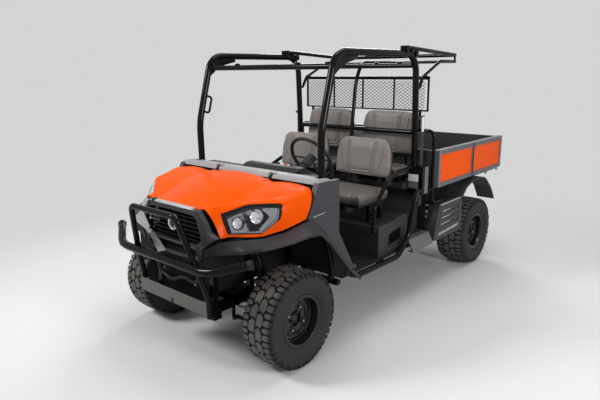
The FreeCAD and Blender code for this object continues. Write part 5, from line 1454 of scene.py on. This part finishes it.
class VEHICLE_OT_cab(bpy.types.Operator):
    """Add the cage's gussets and bolts, labels, buckles, the middle post, hinge covers, liners and dash
    fittings
    """
    bl_idname = "vehicle.cab"
    bl_label = "Cab fittings"

    def execute(self, context):
        self.fittings()
        self.middle_post()
        self.hinge_covers()
        self.liners()
        self.dash()
        return {"FINISHED"}

    def fittings(self):
        """Gussets, clamps, bolts, blank plates, buckles and knobs."""
        shape = bmesh.new()
        frame_black, white, red, black, label_grey = range(5)
        for sign in (1, -1):
            hoop, way, up = sign * HOOP_X, (sign, 0, 0), (0, 0, 1)
            gusset = [(436, 1730), (470, 1800), (530, 1842), (620, 1886), (740, 1912), (740, 1934),
                      (560, 1932), (520, 1925), (494, 1905), (478, 1872)]
            add_prism(shape, gusset, hoop - 4, hoop + 4, "x", 1, frame_black)
            for side in (-1, 1):
                bolts = [(hoop + side * 4, y, z) for y, z in ((480, 1852), (540, 1892), (640, 1914))]
                add_heads(shape, bolts, (side, 0, 0), 7, 4, 6, frame_black)
            add_block(shape, (hoop - 28, hoop + 28), (1404, 1440), (1958, 1984), 3, frame_black)
            add_block(shape, (hoop - 33, hoop + 33), (1462, 1500), (1930, 1976), 3, frame_black)
            add_heads(shape, [(hoop, y, 1984) for y in (1414, 1430)], up, 7, 5, 6, frame_black)
            add_heads(shape, [(hoop, y, HOOP_TOP - 4.4) for y in (1340, 1356)], up, 7, 4, 6, frame_black)
            pillar = [(sign * PILLAR_SIDE, y, z) for z in (880, 1050) for y in (1520, 1572)]
            add_heads(shape, pillar, way, 7, 4, 6, frame_black)

            add_block(shape, span(sign, 590, 680), (1499, 1500.2), (955, 1013), 0.4, white)
            add_block(shape, span(sign, 590, 680), (1499.1, 1500.2), (896, 950), 0.4, label_grey)
            label = [(1532, 858), (1586, 858), (1586, 1074), (1532, 1074)]
            side_outline(shape, label, sign, PILLAR_SIDE, 2.4, 0.8, label_grey)
            add_block(shape, span(sign, 655, 661), (1560, 1596), (1352, 1468), 1, white)

            for x in (sign * 592, sign * 40):
                add_block(shape, (x - 14, x + 14), (1180, 1220), (970, 1024), 4, black)
                add_block(shape, (x - 10, x + 10), (1175, 1180), (1004, 1018), 2, red)
            add_block(shape, (sign * 560 - 18, sign * 560 + 18), (1010, 1030), (682, 706), 4, black)
            add_turned(shape, dome(9, 6), at(sign * 560, 1020, 706), up, 18, red)
        for x in (-560, -300, 300, 560):
            add_block(shape, (x - 16, x + 16), (470, 494), (1878, 1892), 2, frame_black)
            add_heads(shape, [(x, 482, 1892)], (0, 0, 1), 6, 4, 6, frame_black)
        for x in (-470, -250, 250, 470):
            add_block(shape, (x - 14, x + 14), (1498, 1518), (1884, 1896), 2, frame_black)
        finished(shape, "cab_fittings",
                 ("Frame black", "Label white", "Signal red", "Black moulding", "Label grey"), "chassis", 35)

    def middle_post(self):
        """The bent tube that rises between the rear seats and runs back under the roof."""
        post = bmesh.new()
        way = [(2188, 1900), (1660, 1900), (1578, 1752), (1481, 1000)]
        add_path(post, rounded([at(0, y, z) for y, z in way], 170, 8), 16, 20)
        add_block(post, (-34, 34), (1462, 1502), (1000.2, 1006))
        finished(post, "middle_post", "Frame black", "chassis", 50)

    def hinge_covers(self):
        """The hood's hinge arms and the sleeves that turn on its two pins."""
        hinge = bmesh.new()
        sleeve = [(5.8, -13.4), (5.8, 13.4), (13.6, 13.4), (13.6, -13.4)]
        for middle in (270, -270):
            add_block(hinge, (middle - 14.2, middle + 14.2), (198, 238), (1114.6, 1136.2))
            add_turned(hinge, sleeve, at(middle, 245, 1140), (1, 0, 0), 32)
            add_block(hinge, (middle - 22, middle + 22), (176, 200), (1120, 1128))
        finished(hinge, "hinge_covers", "Frame black", "hood", 35)

    def liners(self):
        """Sheets beside the front bay, behind the cab, below the cowl strip and under the bed."""
        liner = bmesh.new()
        wall = [(-284, 470), (-284, 796), (-60, 850), (300, 850), (392, 780), (392, 470)]
        for sign in (1, -1):
            add_prism(liner, wall, *span(sign, 259, 262), "x", 0.8)
            for y in range(-220, 301, 130):
                add_block(liner, span(sign, 262, 265), (y - 7, y + 7), (480, 780), 1)
        add_block(liner, (-655, 655), (1692, 1695), (434, 838), 0.8)
        for low, high in ((-655, -294), (-246, 246), (294, 655)):
            add_block(liner, (low, high), (214, 330), (1118, 1122), 0.8)
        for sign in (1, -1):
            add_block(liner, span(sign, 583, 586), (1696, 2240), (690, 812), 0.8)
        finished(liner, "wheel_well_liners", "Splash liner", "chassis", 35)

    def dash(self):
        """The hood over the instruments, switches, a red knob and the wheel's collar."""
        dash = bmesh.new()
        black, dark, red = range(3)
        hump = [(348, 1149), (360, 1166), (398, 1184), (452, 1186), (500, 1160), (520, 1110), (440, 1140)]
        add_prism(dash, hump, -150, 380, "x", 6, black)
        for x in (430, 470, 510):
            add_block(dash, (x - 12, x + 12), (508, 526), (1060, 1080), 3, dark)
        tilt = (0, 0.35, 1)
        add_rod(dash, at(165, 470, 1120), at(165, 488, 1172), 6, 12, black)
        add_turned(dash, dome(17, 14), at(165, 489, 1174), tilt, 28, red)
        add_turned(dash, bead(16, 3), at(165, 489, 1173), tilt, 28, dark)
        add_turned(dash, bead(44, 4), at(285, 516, 1120), (0, 1, 0.5), 36, dark)
        finished(dash, "dash_fittings", ("Black moulding", "Dark moulding", "Signal red"), "chassis", 40)


class VEHICLE_OT_bed(bpy.types.Operator):
    """Add the bed's edge rails, corner posts, screws, hooks and floor ribs"""
    bl_idname = "vehicle.bed"
    bl_label = "Bed fittings"

    def execute(self, context):
        shape = bmesh.new()
        rail_paint, frame_black, black = range(3)
        edge = [(1716, 1185.2), (1716, 1190), (3040, 1190), (3040, 1185.2)]
        screws = ((1764, 1010), (1764, 1120), (2322, 1020), (2322, 940), (2450, 1120), (2450, 950),
                  (2990, 1020))
        for sign in (1, -1):
            add_prism(shape, edge, *span(sign, 701, 747.5), "x", 1.5, rail_paint)
            for y, index in ((1733, rail_paint), (2384, frame_black), (3020, rail_paint)):
                post = [(y - 11, 884), (y + 11, 884), (y + 11, 1182), (y - 11, 1182)]
                side_outline(shape, post, sign, BOX_SIDE + 1, 2, 0.8, index)
            heads = [(sign * PANEL_SIDE, y, z) for y, z in screws]
            add_heads(shape, heads, (sign, 0, 0), 6.5, 2.6, 14, black)
            for y in (1950, 2300, 2700, 2960):
                hook = [at(sign * 734, y + back, z) for back, z in ((0, 882), (4, 852), (40, 852), (44, 882))]
                add_path(shape, rounded(hook, 12), 4, 8, frame_black)
            rail = [at(sign * 716, y, 868) for y in (1760, 2100, 2960)]
            add_path(shape, rounded(rail, 10), 8, 10, frame_black)
        for y in range(1800, 2921, 140):
            add_block(shape, (-640, 640), (y - 12, y + 12), (BED_FLOOR - BURY, BED_FLOOR + 3.5), 1.5, black)
        for x in range(-600, 601, 150):
            add_block(shape, (x - 14, x + 14), (1745.8, 1750), (910, 1160), 1.5, black)
        finished(shape, "bed_fittings", ("Rail paint", "Frame black", "Black moulding"), "bed", 35)
        return {"FINISHED"}


# Running gear

def mean_place(places):
    """The middle of some places."""
    return sum(places, Vector()) / len(places)


class VEHICLE_OT_springs(bpy.types.Operator):
    """Wind the coil springs round the dampers"""
    bl_idname = "vehicle.springs"
    bl_label = "Springs"

    def execute(self, context):
        mesh = NODES["dampers"].data
        turns, steps, coil, wire = 8, 20, 0.034, 4.6
        shape = bmesh.new()
        for end in (0, WHEELBASE):
            middle = end * 0.001 + AXLE_Y
            near = [v.co for v in mesh.vertices if v.co.x > 0 and abs(v.co.y - middle) < 0.35]
            top = max(p.z for p in near)
            low = min(p.z for p in near)
            head = mean_place([p for p in near if p.z > top - 0.03])
            foot = mean_place([p for p in near if p.z < low + 0.03])
            way = (head - foot).normalized()
            side = way.orthogonal().normalized()
            third = way.cross(side)
            length = (head - foot).length
            points = []
            for k in range(turns * steps + 1):
                share = k / (turns * steps)
                turn = 2 * math.pi * turns * share
                points.append(foot + way * length * (0.3 + 0.5 * share)
                              + (side * math.cos(turn) + third * math.sin(turn)) * coil)
            add_path(shape, points, wire, 8)
        both_sides(shape)
        finished(shape, "coil_springs", "Frame black", "chassis", 50)
        return {"FINISHED"}


class VEHICLE_OT_finishes(bpy.types.Operator):
    """Give every CAD piece its finish"""
    bl_idname = "vehicle.finishes"
    bl_label = "Finishes"

    def execute(self, context):
        make_finishes()
        for label, names in CAD_FINISH.items():
            for name in names:
                item = NODES[name]
                for place in item.material_slots:
                    place.material = FINISHES[label]
                if not item.material_slots:
                    item.data.materials.append(FINISHES[label])
        return {"FINISHED"}


class VEHICLE_OT_stage(bpy.types.Operator):
    """Lay the floor and set the lamps and the camera"""
    bl_idname = "vehicle.stage"
    bl_label = "Stage"

    def execute(self, context):
        scene = context.scene
        scene.view_settings.view_transform = "Standard"
        self.floor(scene)
        self.world(scene)
        self.lamps(scene)
        self.camera(scene)
        return {"FINISHED"}

    def floor(self, scene):
        """A wide floor that fades to a plain pale backdrop, for the rays that show it."""
        stage = scene.vehicle_stage
        material = bpy.data.materials.new("Pale floor")
        material.use_nodes = True
        tree = material.node_tree
        body = tree.nodes["Principled BSDF"]
        body.inputs["Roughness"].default_value = 0.8
        body.inputs["Specular IOR Level"].default_value = 0.2
        drift = place_group(tree, "tone", Color=(*stage.floor, 1), Scale=0.4, Amount=0.02)
        tree.links.new(drift.outputs["Color"], body.inputs["Base Color"])
        plain = tree.nodes.new("ShaderNodeEmission")
        plain.inputs["Color"].default_value = (*stage.backdrop, 1)
        where = tree.nodes.new("ShaderNodeTexCoord")
        far = tree.nodes.new("ShaderNodeVectorMath")
        far.operation = "LENGTH"
        tree.links.new(where.outputs["Object"], far.inputs[0])
        fade = tree.nodes.new("ShaderNodeMapRange")
        fade.interpolation_type = "SMOOTHERSTEP"
        for label, value in (("From Min", 1.6), ("From Max", 5.0), ("To Min", 0.0), ("To Max", 1.0)):
            fade.inputs[label].default_value = value
        tree.links.new(far.outputs["Value"], fade.inputs["Value"])
        mix = tree.nodes.new("ShaderNodeMixShader")
        tree.links.new(math_node(tree, "MULTIPLY", seen_rays(tree), fade.outputs["Result"]), mix.inputs[0])
        tree.links.new(body.outputs[0], mix.inputs[1])
        tree.links.new(plain.outputs[0], mix.inputs[2])
        tree.links.new(mix.outputs[0], tree.nodes["Material Output"].inputs["Surface"])

        shape = bmesh.new()
        just_below = Matrix.Translation((0, 0, -0.001))
        bmesh.ops.create_grid(shape, x_segments=1, y_segments=1, size=40, matrix=just_below)
        mesh = bpy.data.meshes.new("floor")
        shape.to_mesh(mesh)
        shape.free()
        mesh.materials.append(material)
        floor = bpy.data.objects.new("floor", mesh)
        scene.collection.objects.link(floor)

    def world(self, scene):
        """White light from all round, and the backdrop's colour for the rays that show it."""
        stage = scene.vehicle_stage
        world = bpy.data.worlds.new("Studio")
        scene.world = world
        world.use_nodes = True
        tree = world.node_tree
        sky = tree.nodes["Background"]
        sky.inputs["Color"].default_value = (1, 1, 1, 1)
        sky.inputs["Strength"].default_value = 0.3 * stage.power
        plain = tree.nodes.new("ShaderNodeBackground")
        plain.inputs["Color"].default_value = (*stage.backdrop, 1)
        mix = tree.nodes.new("ShaderNodeMixShader")
        tree.links.new(seen_rays(tree), mix.inputs[0])
        tree.links.new(sky.outputs[0], mix.inputs[1])
        tree.links.new(plain.outputs[0], mix.inputs[2])
        tree.links.new(mix.outputs[0], tree.nodes["World Output"].inputs["Surface"])

    def lamps(self, scene):
        """Four round lamps: where each stands, what it faces, its size in metres and its power."""
        for name, place, aim, size, power in (
            ("key", (-3.0, -5.0, 4.6), (0, -0.4, 0.9), 1.8, 270),
            ("top", (0.5, 0.5, 5.2), (0, 0, 0.9), 3.6, 105),
            ("side", (5.2, -1.2, 2.4), (0, 0.2, 0.9), 1.4, 135),
            ("back", (-3.2, 4.4, 3.2), (0, 0.3, 1.0), 2.6, 130),
        ):
            lamp = bpy.data.lights.new(name, "AREA")
            lamp.energy = power * scene.vehicle_stage.power
            lamp.shape = "DISK"
            lamp.size = size
            light = bpy.data.objects.new(name, lamp)
            light.location = place
            light.rotation_euler = (Vector(aim) - Vector(place)).to_track_quat("-Z", "Y").to_euler()
            scene.collection.objects.link(light)

    def camera(self, scene):
        """The camera fitted to the photograph's tyres and tubes."""
        focal_px, photo_px, sensor = 541.06, 600, 36
        azimuth, elevation, tilt = 41.345, 13.439, -0.61
        target, distance = at(0, 830, 829), 4.3372
        lens = bpy.data.cameras.new("photo_view")
        lens.sensor_width = sensor
        lens.lens = focal_px / photo_px * sensor
        lens.clip_end = 100
        camera = bpy.data.objects.new("photo_view", lens)
        scene.collection.objects.link(camera)
        turn, rise, roll = (math.radians(angle) for angle in (azimuth, elevation, tilt))
        back = Vector((math.sin(turn) * math.cos(rise), -math.cos(turn) * math.cos(rise), math.sin(rise)))
        right = (-back).cross(Vector((0, 0, 1))).normalized()
        up = right.cross(-back)
        side = right * math.cos(roll) + up * math.sin(roll)
        head = up * math.cos(roll) - right * math.sin(roll)
        axes = Matrix((side, head, back)).transposed().to_4x4()
        camera.matrix_world = Matrix.Translation(target + back * distance) @ axes
        scene.camera = camera


class VEHICLE_PT_panel(bpy.types.Panel):
    """Buttons and settings for the vehicle"""
    bl_label = "Utility vehicle"
    bl_idname = "VEHICLE_PT_panel"
    bl_space_type = "VIEW_3D"
    bl_region_type = "UI"
    bl_category = "Vehicle"

    def draw(self, context):
        scene = context.scene
        for group, names in (
            (scene.vehicle_paint, ("orange", "grey", "trim", "vinyl")),
            (scene.vehicle_tyre, ("pitches", "tread_depth")),
            (scene.vehicle_seat, ("voxel", "pressure", "channel")),
            (scene.vehicle_screen, ("pitch", "rise", "strand")),
            (scene.vehicle_stage, ("floor", "backdrop", "power")),
        ):
            box = self.layout.box()
            for name in names:
                box.prop(group, name)
        for operator in OPERATORS:
            self.layout.operator(operator.bl_idname)


SETTINGS = {
    "vehicle_paint": PaintSettings, "vehicle_tyre": TyreSettings, "vehicle_seat": SeatSettings,
    "vehicle_screen": ScreenSettings, "vehicle_stage": StageSettings,
}
OPERATORS = (
    VEHICLE_OT_finishes, VEHICLE_OT_wheels, VEHICLE_OT_seats, VEHICLE_OT_screen, VEHICLE_OT_lamps,
    VEHICLE_OT_nose, VEHICLE_OT_rims, VEHICLE_OT_sides, VEHICLE_OT_cab, VEHICLE_OT_bed, VEHICLE_OT_springs,
    VEHICLE_OT_stage,
)


def register():
    for group in SETTINGS.values():
        bpy.utils.register_class(group)
    for name, group in SETTINGS.items():
        setattr(bpy.types.Scene, name, bpy.props.PointerProperty(type=group))
    for operator in OPERATORS:
        bpy.utils.register_class(operator)
    bpy.utils.register_class(VEHICLE_PT_panel)


def unregister():
    bpy.utils.unregister_class(VEHICLE_PT_panel)
    for operator in reversed(OPERATORS):
        bpy.utils.unregister_class(operator)
    for name, group in SETTINGS.items():
        delattr(bpy.types.Scene, name)
        bpy.utils.unregister_class(group)


def main():
    register()
    for operator in OPERATORS:
        family, action = operator.bl_idname.split(".")
        getattr(getattr(bpy.ops, family), action)()


if __name__ == "__main__":
    main()
